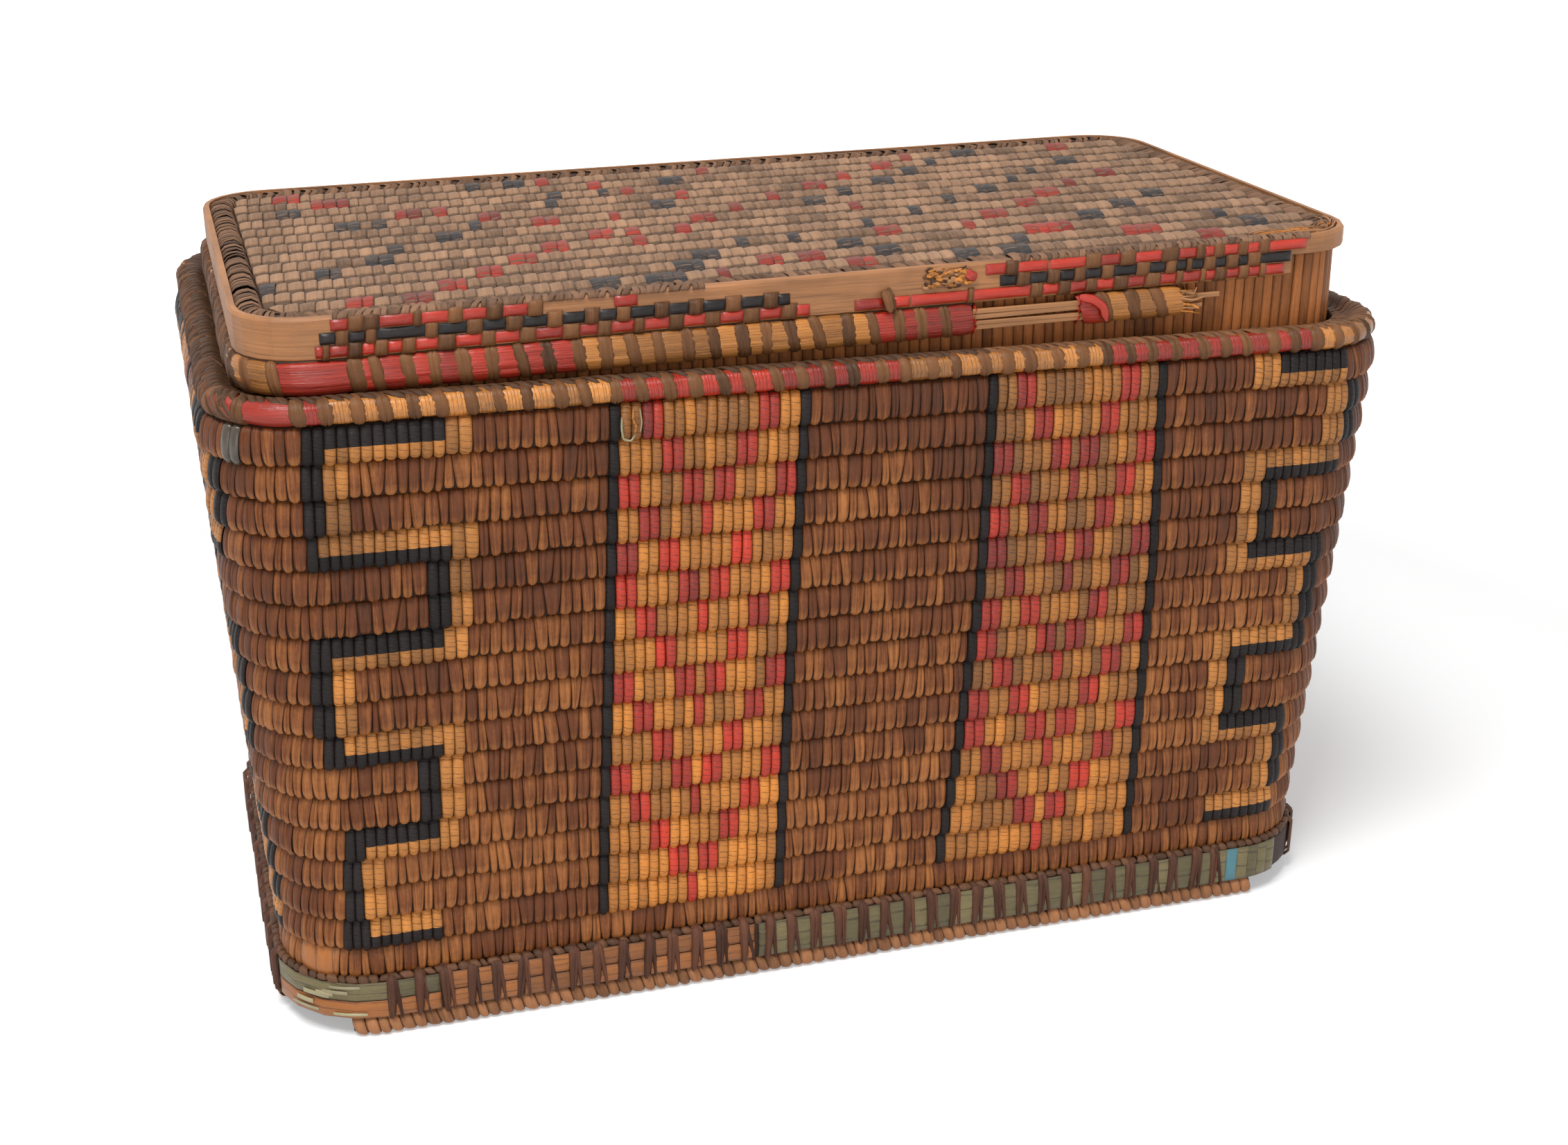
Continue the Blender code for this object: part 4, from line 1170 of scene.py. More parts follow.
def sew_rim():
    size = sizes()
    rng = np.random.default_rng(7)
    ring, height = wall_ring("rim_coil", size.wall_radius, rim_tilt())
    sewing = Sewing("rim_beading")
    half = ring.around / 2
    near, far = ROPED_PAST_CORNER
    coil = Coil(ring, COIL, size.rim_thickness, height)
    bead_coil(sewing, coil, -half, half, rng, colour_from(RIM_COLOURS, ring.around, WOUND_BEADS),
              long_bead=RIM_LONG_BEAD, roped=[(-ring.front - far, -ring.front - near)])
    seam, reach = np.array([-half]), size.bead_wrap / 2
    wrap(sewing, coil, seam - reach, seam + reach, RIM_ROOT, rng, puff=size.wrap_rise, groove=size.wrap_rise)
    sewing.make("trunk", "rim_coil")
    sew_shoulder(rng)


def sew_shoulder(rng):
    """The slope inside the rim, and the slanting strands that run from it over the rim."""
    size = sizes()
    low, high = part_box("shoulder_braid")
    collar_low, collar_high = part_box("collar")
    radius = size.wall_radius - size.rim_thickness - size.seam
    ring, height = wall_ring("shoulder_braid", radius, rim_tilt())
    seam = 2 * size.seam
    ring.inward = (collar_low.y - low.y - seam, high.x - collar_high.x - seam, collar_low.x - low.x - seam)
    sewing = Sewing("shoulder_strands")
    half = ring.around / 2
    edges = even(-half, half, size.plait_strand, rng)
    lay_core(sewing, Coil(ring, BAND, 1.0, height), -half, half, depth=0.0)
    wrap(sewing, Coil(ring, COIL, 1.0, height), edges[:-1], edges[1:], PLAIT, rng, lean=-0.8, puff=0.0,
         groove=0.0, reach=high.y - collar_high.y)
    ring, height = wall_ring("rim_coil", size.wall_radius, rim_tilt())
    half = ring.around / 2
    edges = even(-half, half, size.plait_strand, rng, jitter=0.12)
    # Painted shadow of the lid's coil: the strands under it are dark, those past its break lighter
    tones = np.where(edges[:-1] < SHOULDER_SHADOW_END, *SHOULDER_SHADOW_TONES)
    tones = tones + rng.uniform(-0.3, 0.3, len(edges) - 1)
    lash(sewing, ring, SHOULDER, edges, height, rng, PLAIT, lean=0.85, spread=0.08, groove=0.0016,
         tones=tones)
    sewing.make("trunk", "shoulder_braid")


def sew_collar():
    size = sizes()
    rng = np.random.default_rng(11)
    ring, height = wall_ring("collar", size.lid_radius - size.collar_thickness, lid_tilt())
    sewing = Sewing("collar_wraps")
    half = ring.around / 2
    coil = Coil(ring, BAND, size.collar_thickness, height)
    lay_core(sewing, coil, -half, half, depth=0.0008)
    edges = even(-half, half, size.collar_wrap, rng)
    wrap(sewing, coil, edges[:-1], edges[1:], COLLAR, rng, puff=0.0003, groove=0.0009, skew=0.0003,
         lean=0.012, uneven=0.0001)
    sewing.make("trunk", "collar")


def sew_rows(stem, body, finish, rng, holder, centre_x, level, thickness, tilt, lean, marks=None):
    """Straight coils side by side, stitched with slanting tiles that lap one another."""
    size = sizes()
    letters = {"r": LID_RED, "k": LID_BLACK}
    names = sorted(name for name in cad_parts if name.startswith(stem))
    depth = 2 * holder[1]
    pitch = depth / len(names)
    for number, name in enumerate(names):
        line = -depth / 2 + number * pitch
        path = Bar(line, level, holder, centre_x, tilt)
        middle = line + pitch / 2
        half = float(path.reach(np.array([middle]))[0])
        sewing = Sewing(f"{stem}_stitches_{number + 1:02d}")
        coil = Coil(path, ROW, pitch, thickness)
        lay_core(sewing, coil, -half, half, cap=finish)
        edges = even(-half, half, size.tile, rng, jitter=0.16)
        kinds = np.full(len(edges) - 1, finish)
        if marks:
            for word in marks[number].split():
                place, count = word[1:].split(":")
                run = float(place) / 1000
                first = int(np.clip(np.searchsorted(edges, run) - 1, 0, len(kinds) - 1))
                kinds[first:first + int(count)] = letters[word[0]]
        tones = slow_tones(edges[:-1], rng, 0.45)
        sew(sewing, coil, edges[:-1], edges[1:], (kinds, kinds), rng, base=finish, lean=lean, face=(1, 10),
            proud=0.0005, puff=0.00012, tones=tones, split=2.0, straws=False, groove=0.0004, shingle=0.0008,
            uneven=0.00012, skew=0.0008)
        sewing.make(body, name)


def sew_base():
    low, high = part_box("base_row_01")
    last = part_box("base_row_09")[1]
    holder = (high.x, last.y, sizes().wall_radius - BASE_INSET)
    rng = np.random.default_rng(13)
    sew_rows("base_row", "trunk", ROOT, rng, holder, 0.0, low.z, high.z - low.z, tilt=0.0, lean=0.1)


def sew_foot():
    rng = np.random.default_rng(17)
    ring, height = wall_ring("foot_band", sizes().foot_radius, 0.0)
    wraps = sew_foot_band(ring, height, rng)
    for name in ("foot_beading_left", "foot_beading_middle", "foot_beading_right"):
        lay_grass(name, ring, height, wraps, rng)
    sew_foot_coils(ring, rng)


def sew_foot_band(ring, height, rng):
    """The band, its pairs of wraps and the ledge's stitches above them. Gives the runs of the pairs."""
    size = sizes()
    half = ring.around / 2
    corner = math.pi / 2 * ring.radius
    sewing = Sewing("foot_band_wraps")
    coil = Coil(ring, BAND, size.foot_thickness, height)
    lay_core(sewing, coil, -half, half, finish=FOOT_ROOT, depth=size.seam)
    count = round(ring.around / size.foot_pair)
    middles = np.arange(count) * ring.around / count - half
    bare = (middles < -ring.front - 0.004) & (middles > -ring.front - corner * 0.8)
    bare |= (middles > ring.front - 0.006) & (middles < ring.front + corner * 0.6)
    kept = middles[~bare] + rng.normal(0, 0.0004, np.count_nonzero(~bare))
    pair = ((-0.0004, size.foot_wrap, 0.0017, 0.04), (0.0028, 0.0036, 0.0012, -0.12))
    for shift, wide, lift, lean in pair:
        wrap(sewing, coil, kept + shift - wide / 2, kept + shift + wide / 2, FOOT_ROOT, rng, lean=lean,
             lean_jitter=0.04, puff=0.0011, groove=0.0008, point=0.7, splits=0.4, face=(0, 9), lift=lift)
    level = ring.matrix.translation.z + height - size.ledge * 0.4
    ledge = Ring(ring.width - 2 * size.seam, ring.depth - 2 * size.seam, ring.radius, 0.0, level, 0.0)
    edges = even(-half, half, size.stitch, rng, jitter=0.2)
    wrap(sewing, Coil(ledge, COIL, size.ledge, size.ledge), edges[:-1], edges[1:], ROPE, rng, lean=-0.2,
         lean_jitter=0.1, skew=0.0008, uneven=size.uneven)
    sewing.make("trunk", "foot_band")
    return kept


def lay_grass(name, ring, height, wraps, rng):
    """A length of grass beading, which shows between the pairs of wraps."""
    size = sizes()
    low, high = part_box(name)
    left, right = low.x, high.x
    at_left, at_right = name.endswith("left"), name.endswith("right")
    if at_left:
        left = -ring.front - size.grass_left_wrap
    if at_right:
        right = ring.front + size.grass_right_wrap
    edges = [left, *(run for run in wraps if left < run < right), right]
    spans = [(a + 0.001, b - 0.001) for a, b in zip(edges, edges[1:]) if b - a > 0.003]
    sewing = Sewing(name.replace("beading", "grass"))
    bottom = low.z - ring.matrix.translation.z - size.grass_lap
    top = height - size.seam
    tall = top - bottom
    middle = bottom + tall / 2
    tiers = ((bottom, middle - 0.0004, GRASS_GOLD), (middle, top, GREEN if at_left else GRASS_GOLD))
    if at_right:
        tiers = ((bottom, top, GREEN),)
        stops = np.linspace(*spans.pop(), 7)
        for number, span in enumerate(zip(stops, stops[1:])):
            shade = TURQUOISE if number == 1 else GREEN
            pillows(sewing, ring, [span], bottom, top, shade, rng, rise=0.0011, base=0.0003)
    for low_z, high_z, finish in tiers:
        pillows(sewing, ring, spans, low_z, high_z, finish, rng, rise=0.0012, base=0.0003)
    if at_left:
        for share in STREAK_SHARES:
            begin = left + rng.uniform(0.01, 0.045)
            end = min(begin + rng.uniform(0.008, 0.02), -ring.front - 0.001)
            low_z = bottom + tall * share
            high_z = low_z + rng.uniform(0.0014, 0.0030)
            pillows(sewing, ring, [(begin, end)], low_z, high_z, PALE_GRASS, rng, rise=0.0006, base=0.0012)
    sewing.make("trunk", name)


def sew_foot_coils(ring, rng):
    """The coil under the foot, along the front and round the ends and back."""
    size = sizes()
    corner = math.pi / 2 * ring.radius
    low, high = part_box("foot_coil_ends")
    front_low, front_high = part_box("foot_coil_front")
    tall = high.z - low.z
    path = Ring(ring.width, ring.depth, ring.radius, 0.0, low.z, 0.0)
    coil = Coil(path, COIL, size.foot_coil_thickness, tall)
    spans = {
        "foot_coil_front": (front_low.x, front_high.x),
        "foot_coil_ends": (ring.front + corner, ring.around - ring.front - corner),
    }
    for name, (start, end) in spans.items():
        sewing = Sewing(name + "_stitches")
        lay_core(sewing, coil, start, end, cap=CORE)
        edges = even(start, end, size.foot_stitch, rng, jitter=0.14)
        wrap(sewing, coil, edges[:-1], edges[1:], FOOT_COIL, rng, lean=-0.22, lean_jitter=0.06, skew=0.0006,
             shingle=0.0006, puff=0.0005, groove=0.0007)
        sewing.make("trunk", name)


# The lid's pieces


def lid_frame():
    """The lid's middle, and its own level at the bottom of its rim coil."""
    low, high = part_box("lid_rim_coil")
    tilt = lid_tilt()
    width = high.x - low.x
    return (low.x + high.x) / 2, low.z + width / 2 * math.sin(-tilt), tilt


def on_lid(name):
    """A lid node's level over the rim coil's bottom, and its height."""
    low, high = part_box(name)
    tilt = abs(lid_tilt())
    centre, seat, _ = lid_frame()
    middle_x = (low.x + high.x) / 2
    height = high.z - low.z - (high.x - low.x) * math.tan(tilt)
    level = (low.z + high.z) / 2 - height / 2 - seat - (middle_x - centre) * math.tan(tilt)
    return level, height


def sew_lid_panel():
    size = sizes()
    rng = np.random.default_rng(19)
    centre, seat, tilt = lid_frame()
    level, height = on_lid("lid_border_coil")
    low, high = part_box("lid_border_coil")
    radius = size.lid_radius - size.slat_thickness - size.seam
    ring = Ring(high.x - low.x, high.y - low.y, radius, centre, seat, tilt)
    ring.matrix = ring.matrix @ Matrix.Translation((0, 0, level))
    half = ring.around / 2
    sewing = Sewing("lid_border_wraps")
    coil = Coil(ring, COIL, size.border_width, height)
    lay_core(sewing, coil, -half, half, finish=BORDER)
    edges = even(-half, half, size.border_stitch, rng, jitter=0.25)
    wrap(sewing, coil, edges[:-1], edges[1:], BORDER, rng, lean=-0.35, lean_jitter=0.15, uneven=0.0002,
         shingle=0.0005, groove=0.0004)
    for _ in range(FRAYED_FIBRES):
        run = ring.front + rng.uniform(-FRAYED_RUN, FRAYED_RUN)
        reach = rng.uniform(0.006, 0.024)
        out = -rng.uniform(0.001, size.border_width - 0.002)
        up = height + rng.uniform(-0.0004, 0.0008)
        places = [
            (run, out, up - 0.0006),
            (run + reach / 2, out + rng.uniform(-0.0006, 0.0006), up + 0.0003),
            (run + reach, out + rng.uniform(-0.0015, 0.0015), up),
        ]
        width, shade = rng.uniform(0.0007, 0.0018), rng.choice([SPLINT, GOLD, BORDER])
        ribbon(sewing, ring, places, width, shade, rng.uniform(0, 1))
    sewing.make("lid", "lid_border_coil")
    level, height = on_lid("lid_row_07")
    low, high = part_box("lid_row_07")
    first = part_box("lid_row_01")[0]
    holder = ((high.x - low.x) / 2, -first.y, radius - size.border_width - size.seam)
    marks = LID_MARKS.strip().splitlines()
    sew_rows("lid_row", "lid", LID_ROOT, rng, holder, centre, seat + level, height, tilt, 0.06, marks)


def sew_lid_skirt():
    size = sizes()
    rng = np.random.default_rng(23)
    centre, seat, tilt = lid_frame()
    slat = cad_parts["lid_skirt_slat"]
    slat.data.materials.clear()
    slat.data.materials.append(finishes()[SLAT])
    low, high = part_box("lid_skirt_slat")
    slat_level, slat_height = on_lid("lid_skirt_slat")
    ring = Ring(high.x - low.x, high.y - low.y, size.lid_radius, centre, seat, tilt)
    covered = {0: [], 1: [], 2: []}
    heights = {}
    for name, (tier, text) in SKIRT_STRIPS.items():
        level, height = on_lid(name)
        heights[tier] = (level, level + height)
        runs = np.array([float(word) for word in text.split()]).reshape(-1, 2) / 1000
        covered[tier].append(runs)
        sewing = Sewing(name.replace("lid_strip", "woven_strip"))
        finish = STRIP_BLACK if "black" in name else STRIP_RED
        pillows(sewing, ring, runs, level, level + height, finish, rng, rise=0.0016, base=0.0004)
        sewing.make("lid", name)
    sewing = Sewing("skirt_wraps")
    for tier, parts in covered.items():
        low_z, high_z = heights[tier]
        for runs in parts:
            for (_, a), (b, _) in zip(runs, runs[1:]):
                if b - a < NARROW_GAP:
                    continue
                edges = np.array([a, a + SINGLE_WRAP])
                if b - a < BARE_GAP:
                    edges = even(a, b, SKIRT_WRAP, rng, jitter=0.05)
                spans = np.stack([edges[:-1] - size.wrap_rise, edges[1:] + size.wrap_rise], -1)
                pillows(sewing, ring, spans, low_z - WRAP_REACH, high_z + WRAP_REACH, RIM_ROOT, rng,
                        rise=0.0022, base=0.0003, upright=True, lean=0.08)
    for start, stop in LASHED:
        edges = even(start / 1000, stop / 1000, size.lashing, rng, jitter=0.25)
        lash(sewing, ring, OVER_SLAT, edges, slat_level + slat_height, rng, BORDER, lean=-0.2, spread=0.2,
             groove=0.0005)
    tear_slat(sewing, ring, slat_level, slat_height, rng)
    sewing.make("lid")


def tear_slat(sewing, ring, level, height, rng):
    """The torn spot on the slat's face, with its gold fibres, a scrap of red strip, and one loose wrap."""
    low, high = (level + height * share for share in TORN_HEIGHT_SHARES)
    for number in range(TORN_FIBRES):
        shade = (ROPE, SPLINT, GOLD)[np.searchsorted(TORN_SHADES, number, side="right")]
        run, up = rng.uniform(*TORN_RUN), rng.uniform(low, high)
        out = 0.0003 + 0.000012 * number
        places = [
            (run, out, up),
            (run + rng.uniform(0.001, 0.003), out + 0.0005, up + rng.uniform(-0.0015, 0.0015)),
            (run + rng.uniform(0.003, 0.006), out + 0.0001, up + rng.uniform(-0.002, 0.002)),
        ]
        ribbon(sewing, ring, places, rng.uniform(0.0008, 0.0024), shade, rng.uniform(0, 1))
    scrap = [
        (0.0630, 0.0010, high - 0.002), (0.0655, 0.0026, high - 0.0045), (0.0690, 0.0014, high - 0.0050),
    ]
    ribbon(sewing, ring, scrap, 0.0048, STRIP_RED)
    loose = [
        (0.0205, 0.0016, level + height * 0.52), (0.0216, 0.0042, level + height * 0.3),
        (0.0232, 0.0040, level),
    ]
    beside = [(run + 0.0022, out - 0.0004, up + 0.001) for run, out, up in loose]
    ribbon(sewing, ring, loose, 0.0052, RIM_ROOT, 0.7)
    ribbon(sewing, ring, beside, 0.0022, RIM_ROOT, 0.2)


def lash(sewing, ring, line, edges, top, rng, finish, lean, spread, groove, tones=None):
    """Short strands side by side that follow a line from the inside out, over an edge."""
    line = np.array(line) / 1000
    count = len(edges) - 1
    across = ACROSS[None, None, :]
    middle = ((edges[:-1] + edges[1:]) / 2)[:, None, None]
    half = (np.diff(edges) / 2 * rng.uniform(0.8, 1.1, count))[:, None, None]
    walked = walk_along(line)
    slant = rng.normal(lean, spread, (count, 1, 1)) * (walked - walked[-1] / 2)[None, :, None]
    run = middle + half * across + slant
    dip = np.abs(across) ** 4 * groove + rng.uniform(-0.2, 0.2, (count, 1, 1)) * groove
    out = line[None, :, None, 0] - dip * 0.7
    up = top + line[None, :, None, 1] - dip * 0.7
    tones = rng.uniform(0, 1, count) if tones is None else tones
    grain = grain_over(run, across, walked[None, :, None], tones[:, None, None])
    sewing.add(ring.place(run, out, up)[:, ::-1], grain[:, ::-1], finish, closed=False)


def sew_lid_coil():
    size = sizes()
    rng = np.random.default_rng(29)
    centre, seat, tilt = lid_frame()
    low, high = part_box("lid_rim_coil")
    height = on_lid("lid_rim_coil")[1]
    ring = Ring(high.x - low.x, high.y - low.y, size.lid_radius + size.lid_coil_proud, centre, seat, tilt)
    corner = math.pi / 2 * ring.radius
    start = ring.front + corner + size.slat_break
    end = ring.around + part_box("lid_rim_splints")[0].x - centre
    sewing = Sewing("lid_rim_beading")
    glossy = [ring.around + run for run in LID_LONG_BEAD]
    roped = [(ring.around - ring.front - corner - 2 * ring.side, ring.around - ring.front - corner * 0.75)]
    coil = Coil(ring, COIL, size.lid_coil_thickness, height)
    bead_coil(sewing, coil, start, end, rng, colour_from(LID_COIL_COLOURS, ring.around, PLAIN_BEADS),
              long_bead=glossy, roped=roped)

    # A band behind the coil closes the line between it and the slat
    inset = 2 * size.lid_coil_proud
    inner = Ring(ring.width - inset, ring.depth - inset, size.lid_radius, centre, seat, tilt)
    inner.matrix = inner.matrix @ Matrix.Translation((0, 0, height * 0.4))
    first = inner.front + math.pi / 2 * inner.radius + size.slat_break
    last = inner.around + end - ring.around
    band = Coil(inner, BAND, size.slat_thickness, height * 0.6)
    lay_core(sewing, band, first, last, finish=RIM_ROOT, depth=size.seam, seamed=True)
    beaded_end(sewing, coil, start, -1, rng, BEAD_GOLD)
    beaded_end(sewing, coil, end, 1, rng, BEAD_RED)
    sewing.make("lid", "lid_rim_coil")
    split_splints(ring, seat, centre, tilt)
    sew_stub(ring, seat, centre, tilt, rng)


def split_splints(ring, seat, centre, tilt):
    """The bare splints where the coil is broken, each ending in its own place."""
    size = sizes()
    low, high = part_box("lid_rim_splints")
    bottom, tall = on_lid("lid_rim_splints")
    sewing = Sewing("split_splints")
    for number, (under, over, last, tilted) in enumerate(SPLINTS):
        inset = size.seam * number
        path = Ring(ring.width, -2 * low.y + inset, ring.radius, centre, seat, tilt)
        turn = Matrix.Rotation(tilted, 4, "Y")
        path.matrix = path.matrix @ Matrix.Translation((low.x - centre, 0, bottom + tall * under)) @ turn
        splint = Coil(path, BAND, high.y - low.y - 2 * inset, tall * (over - under))
        lay_core(sewing, splint, 0.0, (high.x - low.x) * last, finish=SPLINT, depth=0.0, cap=SPLINT)
    sewing.make("lid", "lid_rim_splints")


def sew_stub(ring, seat, centre, tilt, rng):
    """The wrapped stub left on the splints, with a twist of red strip and loose fibres at its end."""
    size = sizes()
    low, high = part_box("lid_rim_stub")
    bottom, tall = on_lid("lid_rim_stub")
    path = Ring(ring.width, -2 * low.y, ring.radius, centre, seat, tilt)
    path.matrix = path.matrix @ Matrix.Translation((0, 0, bottom))
    begin, stop = low.x - centre, high.x - centre
    coil = Coil(path, COIL, high.y - low.y, tall)
    sewing = Sewing("stub_wraps")

    def pick(run):
        return BEAD_RED if run < begin + size.bead * 0.7 else BEAD_GOLD

    bead_coil(sewing, coil, begin, stop, rng, pick, wrap_lean=-0.3)
    beaded_end(sewing, coil, begin, -1, rng, BEAD_RED)
    beaded_end(sewing, coil, stop, 1, rng, BEAD_GOLD)
    twisted = [
        (begin - 0.0020, 0.0008, tall * 0.98), (begin + 0.0050, 0.0028, tall * 0.90),
        (begin + 0.0110, 0.0020, tall * 0.60), (begin + 0.0135, 0.0012, tall * 0.1),
    ]
    ribbon(sewing, path, twisted, 0.0046, STRIP_RED, 0.9)
    for _ in range(STUB_FIBRES):
        up = tall * rng.uniform(0.1, 0.95)
        places = [
            (stop - 0.003, -0.001, up),
            (stop + 0.004, rng.uniform(-0.001, 0.002), up + rng.uniform(-0.002, 0.002)),
            (stop + rng.uniform(0.006, 0.011), rng.uniform(-0.002, 0.003), up + rng.uniform(-0.003, 0.002)),
        ]
        width, shade = rng.uniform(0.0006, 0.0016), rng.choice([GOLD, SPLINT])
        ribbon(sewing, path, places, width, shade, rng.uniform(0, 1))
    sewing.make("lid", "lid_rim_stub")


# The stage


def studio_rays(tree, *kinds):
    """One where a ray is of one of these kinds, such as a camera's."""
    rays = put(tree, "ShaderNodeLightPath").outputs
    shown = rays[f"Is {kinds[0]} Ray"]
    for kind in kinds[1:]:
        shown = sum_of(tree, "MAXIMUM", shown, rays[f"Is {kind} Ray"])
    return shown


def floor_material(name, rgb, near, far):
    """A pale floor that keeps the trunk's shadow, and that the camera sees as white farther off."""
    material = bpy.data.materials.new(name)
    material.use_nodes = True
    tree = material.node_tree
    tree.nodes.clear()
    spot = put(tree, "ShaderNodeTexCoord").outputs["Object"]
    away = put(tree, "ShaderNodeVectorMath", {0: spot}, operation="LENGTH").outputs["Value"]
    glow = put(tree, "ShaderNodeMapRange", {"Value": away, 1: 0.7, 2: 1.6, 3: near, 4: far}).outputs[0]
    glow = sum_of(tree, "MULTIPLY", glow, studio_rays(tree, "Camera", "Glossy"))
    matte = put(tree, "ShaderNodeBsdfDiffuse", {"Color": (*rgb, 1)})
    light = put(tree, "ShaderNodeEmission", {"Color": (1, 1, 1, 1), "Strength": glow})
    both = put(tree, "ShaderNodeAddShader", {0: matte.outputs[0], 1: light.outputs[0]})
    tree.links.new(both.outputs[0], put(tree, "ShaderNodeOutputMaterial").inputs["Surface"])
    return material


def lay_floor():
    mesh = bpy.data.meshes.new("floor")
    half = FLOOR_SIZE / 2
    corners = [(-half, -half, 0), (half, -half, 0), (half, half, 0), (-half, half, 0)]
    mesh.from_pydata(corners, [], [(0, 1, 2, 3)])
    mesh.materials.append(floor_material("Pale floor", (0.8, 0.8, 0.8), 0.33, 1.0))
    floor = bpy.data.objects.new("floor", mesh)
    floor.location.z = -FLOOR_DROP
    bpy.context.scene.collection.objects.link(floor)


def light_world():
    """A dim white room, which the camera and shiny things see as white."""
    scene = bpy.context.scene
    world = scene.world or bpy.data.worlds.new("Studio")
    scene.world = world
    world.use_nodes = True
    tree = world.node_tree
    tree.nodes.clear()
    shown = studio_rays(tree, "Camera", "Glossy", "Transmission")
    dim, white = (
        put(tree, "ShaderNodeBackground", {"Color": (1, 1, 1, 1), "Strength": strength}).outputs[0]
        for strength in (0.3, 1.0)
    )
    sky = put(tree, "ShaderNodeMixShader", {0: shown, 1: dim, 2: white}).outputs[0]
    tree.links.new(sky, put(tree, "ShaderNodeOutputWorld").inputs["Surface"])


def hang_lamp(name, place, target, width, power):
    data = bpy.data.lights.new(name, "AREA")
    data.shape = "SQUARE"
    data.size = width
    data.energy = power
    made = bpy.data.objects.new(name, data)
    made.location = place
    made.rotation_euler = (Vector(target) - Vector(place)).to_track_quat("-Z", "Y").to_euler()
    bpy.context.scene.collection.objects.link(made)


def stand_camera():
    data = bpy.data.cameras.new("camera")
    data.sensor_width = 36.0
    data.lens = CAMERA_LENS
    data.clip_end = 50.0
    camera = bpy.data.objects.new("camera", data)
    yaw, pitch, roll = (math.radians(angle) for angle in CAMERA_ANGLES)
    ahead = Vector((-math.sin(yaw) * math.cos(pitch), math.cos(yaw) * math.cos(pitch), -math.sin(pitch)))
    right = ahead.cross(Vector((0, 0, 1))).normalized()
    above = right.cross(ahead)
    turned = right * math.cos(roll) + above * math.sin(roll)
    upright = above * math.cos(roll) - right * math.sin(roll)
    turn = Matrix((turned, upright, -ahead)).transposed()
    camera.matrix_world = Matrix.Translation(CAMERA_PLACE) @ turn.to_4x4()
    bpy.context.scene.collection.objects.link(camera)
    bpy.context.scene.camera = camera


def set_stage():
    lay_floor()
    light_world()
    for name, place, target, width, power in LAMPS:
        hang_lamp(name, place, target, width, power)
    stand_camera()
    bpy.context.scene.view_settings.view_transform = "Standard"


# Operators and panel


class TRUNK_OT_sew_foot(bpy.types.Operator):
    """Wraps the foot band, its grass beading and the coil under it"""

    bl_idname = "trunk.sew_foot"
    bl_label = "Foot"
    bl_options = {"REGISTER", "UNDO"}

    def execute(self, context):
        sew_foot()
        return {"FINISHED"}


class TRUNK_OT_sew_base(bpy.types.Operator):
    """Stitches the straight coils of the base"""

    bl_idname = "trunk.sew_base"
    bl_label = "Base"
    bl_options = {"REGISTER", "UNDO"}

    def execute(self, context):
        sew_base()
        return {"FINISHED"}


class TRUNK_OT_sew_wall(bpy.types.Operator):
    """Sews the seventeen courses with their straw pattern"""

    bl_idname = "trunk.sew_wall"
    bl_label = "Wall"
    bl_options = {"REGISTER", "UNDO"}

    def execute(self, context):
        sew_wall()
        return {"FINISHED"}


class TRUNK_OT_sew_rim(bpy.types.Operator):
    """Beads the rim coil and lays the shoulder's strands over it"""

    bl_idname = "trunk.sew_rim"
    bl_label = "Rim"
    bl_options = {"REGISTER", "UNDO"}

    def execute(self, context):
        sew_rim()
        return {"FINISHED"}


class TRUNK_OT_sew_collar(bpy.types.Operator):
    """Wraps the collar with root"""

    bl_idname = "trunk.sew_collar"
    bl_label = "Collar"
    bl_options = {"REGISTER", "UNDO"}

    def execute(self, context):
        sew_collar()
        return {"FINISHED"}


class TRUNK_OT_sew_lid_panel(bpy.types.Operator):
    """Stitches the lid's border and its straight coils"""

    bl_idname = "trunk.sew_lid_panel"
    bl_label = "Lid panel"
    bl_options = {"REGISTER", "UNDO"}

    def execute(self, context):
        sew_lid_panel()
        return {"FINISHED"}


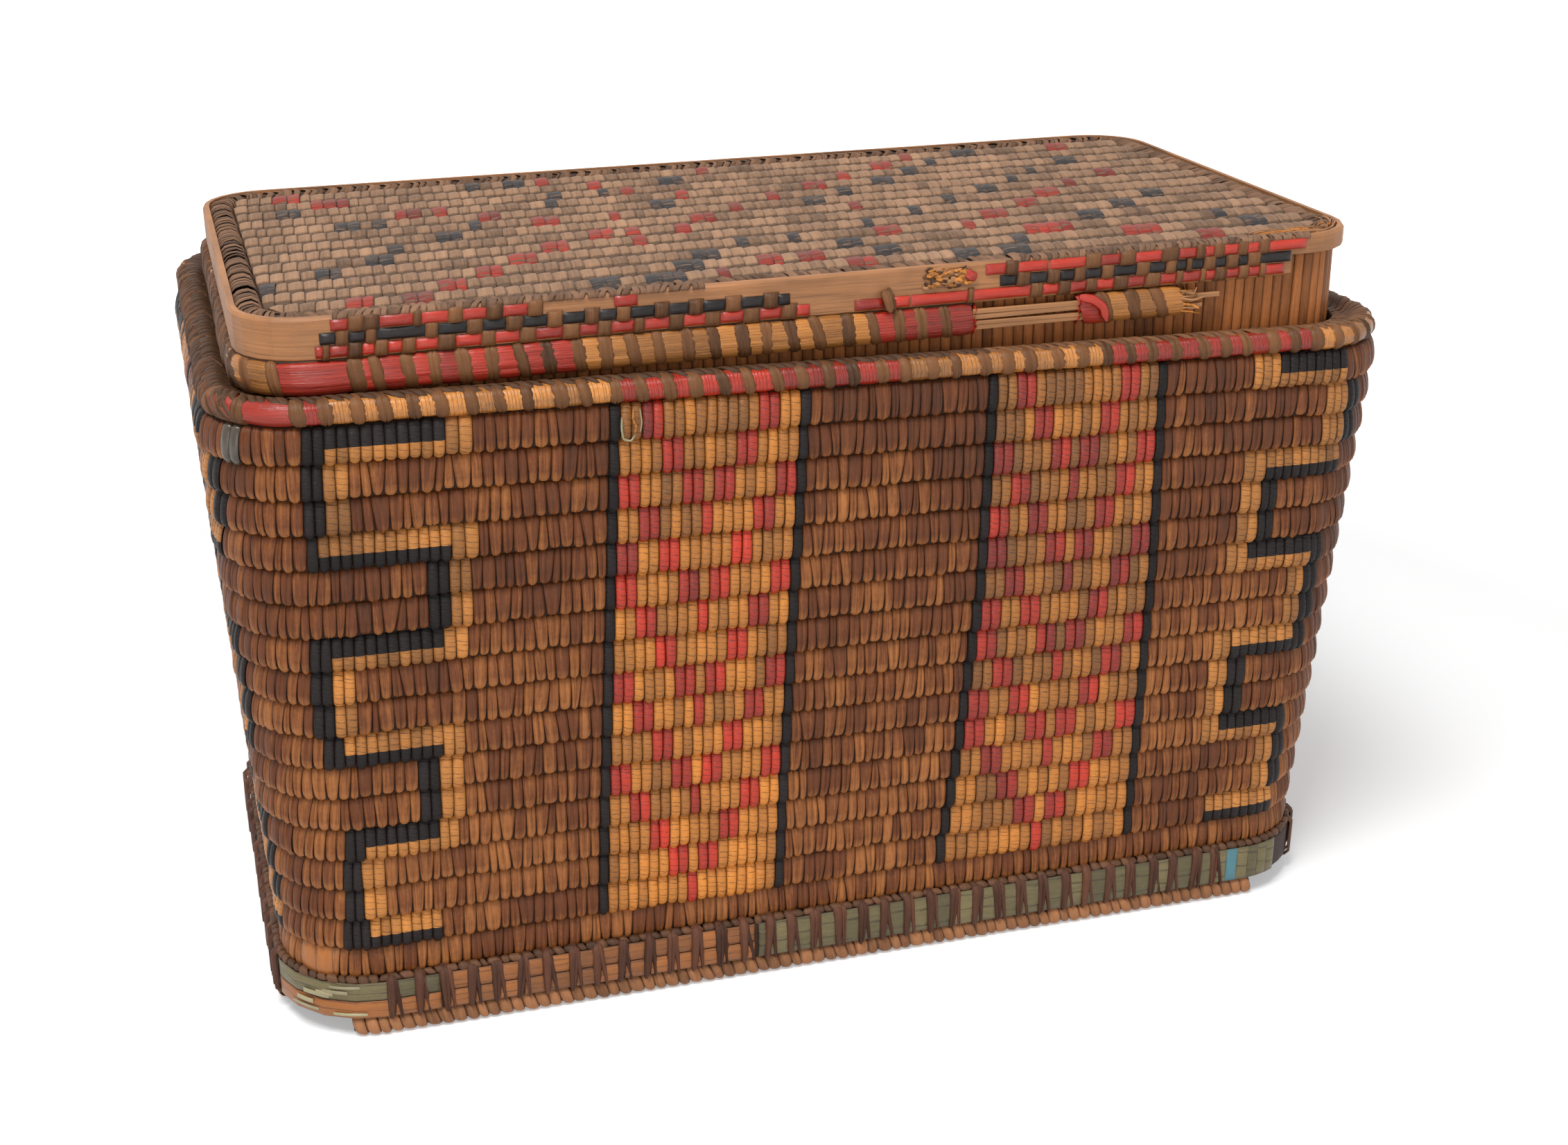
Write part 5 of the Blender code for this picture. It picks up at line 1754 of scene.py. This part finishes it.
class TRUNK_OT_sew_lid_skirt(bpy.types.Operator):
    """Weaves the strips over the bent slat"""

    bl_idname = "trunk.sew_lid_skirt"
    bl_label = "Lid skirt"
    bl_options = {"REGISTER", "UNDO"}

    def execute(self, context):
        sew_lid_skirt()
        return {"FINISHED"}


class TRUNK_OT_sew_lid_coil(bpy.types.Operator):
    """Beads the lid's lower coil and leaves its broken splints"""

    bl_idname = "trunk.sew_lid_coil"
    bl_label = "Lid coil"
    bl_options = {"REGISTER", "UNDO"}

    def execute(self, context):
        sew_lid_coil()
        return {"FINISHED"}


class TRUNK_OT_set_stage(bpy.types.Operator):
    """Sets the floor, the lamps and the camera"""

    bl_idname = "trunk.set_stage"
    bl_label = "Stage"
    bl_options = {"REGISTER", "UNDO"}

    def execute(self, context):
        set_stage()
        return {"FINISHED"}


STEPS = [
    TRUNK_OT_sew_foot, TRUNK_OT_sew_base, TRUNK_OT_sew_wall, TRUNK_OT_sew_rim, TRUNK_OT_sew_collar,
    TRUNK_OT_sew_lid_panel, TRUNK_OT_sew_lid_skirt, TRUNK_OT_sew_lid_coil, TRUNK_OT_set_stage,
]


class TRUNK_PT_basket(bpy.types.Panel):
    """Lists what the trunk is made of"""

    bl_idname = "TRUNK_PT_basket"
    bl_label = "Basketry trunk"
    bl_space_type = "VIEW_3D"
    bl_region_type = "UI"
    bl_category = "Basket"

    def draw(self, context):
        column = self.layout.column()
        for group_name in ("trunk_sizes", "trunk_colours"):
            settings = getattr(context.scene, group_name)
            for key in settings.__annotations__:
                column.prop(settings, key)
        for step in STEPS:
            column.operator(step.bl_idname)


CLASSES = [TrunkSizes, TrunkColours, *STEPS, TRUNK_PT_basket]


def register():
    for kind in CLASSES:
        bpy.utils.register_class(kind)
    bpy.types.Scene.trunk_sizes = PointerProperty(type=TrunkSizes)
    bpy.types.Scene.trunk_colours = PointerProperty(type=TrunkColours)


def unregister():
    del bpy.types.Scene.trunk_colours
    del bpy.types.Scene.trunk_sizes
    for kind in reversed(CLASSES):
        bpy.utils.unregister_class(kind)


def main():
    register()
    for step in STEPS:
        getattr(bpy.ops.trunk, step.bl_idname.split(".")[1])()


if __name__ == "__main__":
    main()
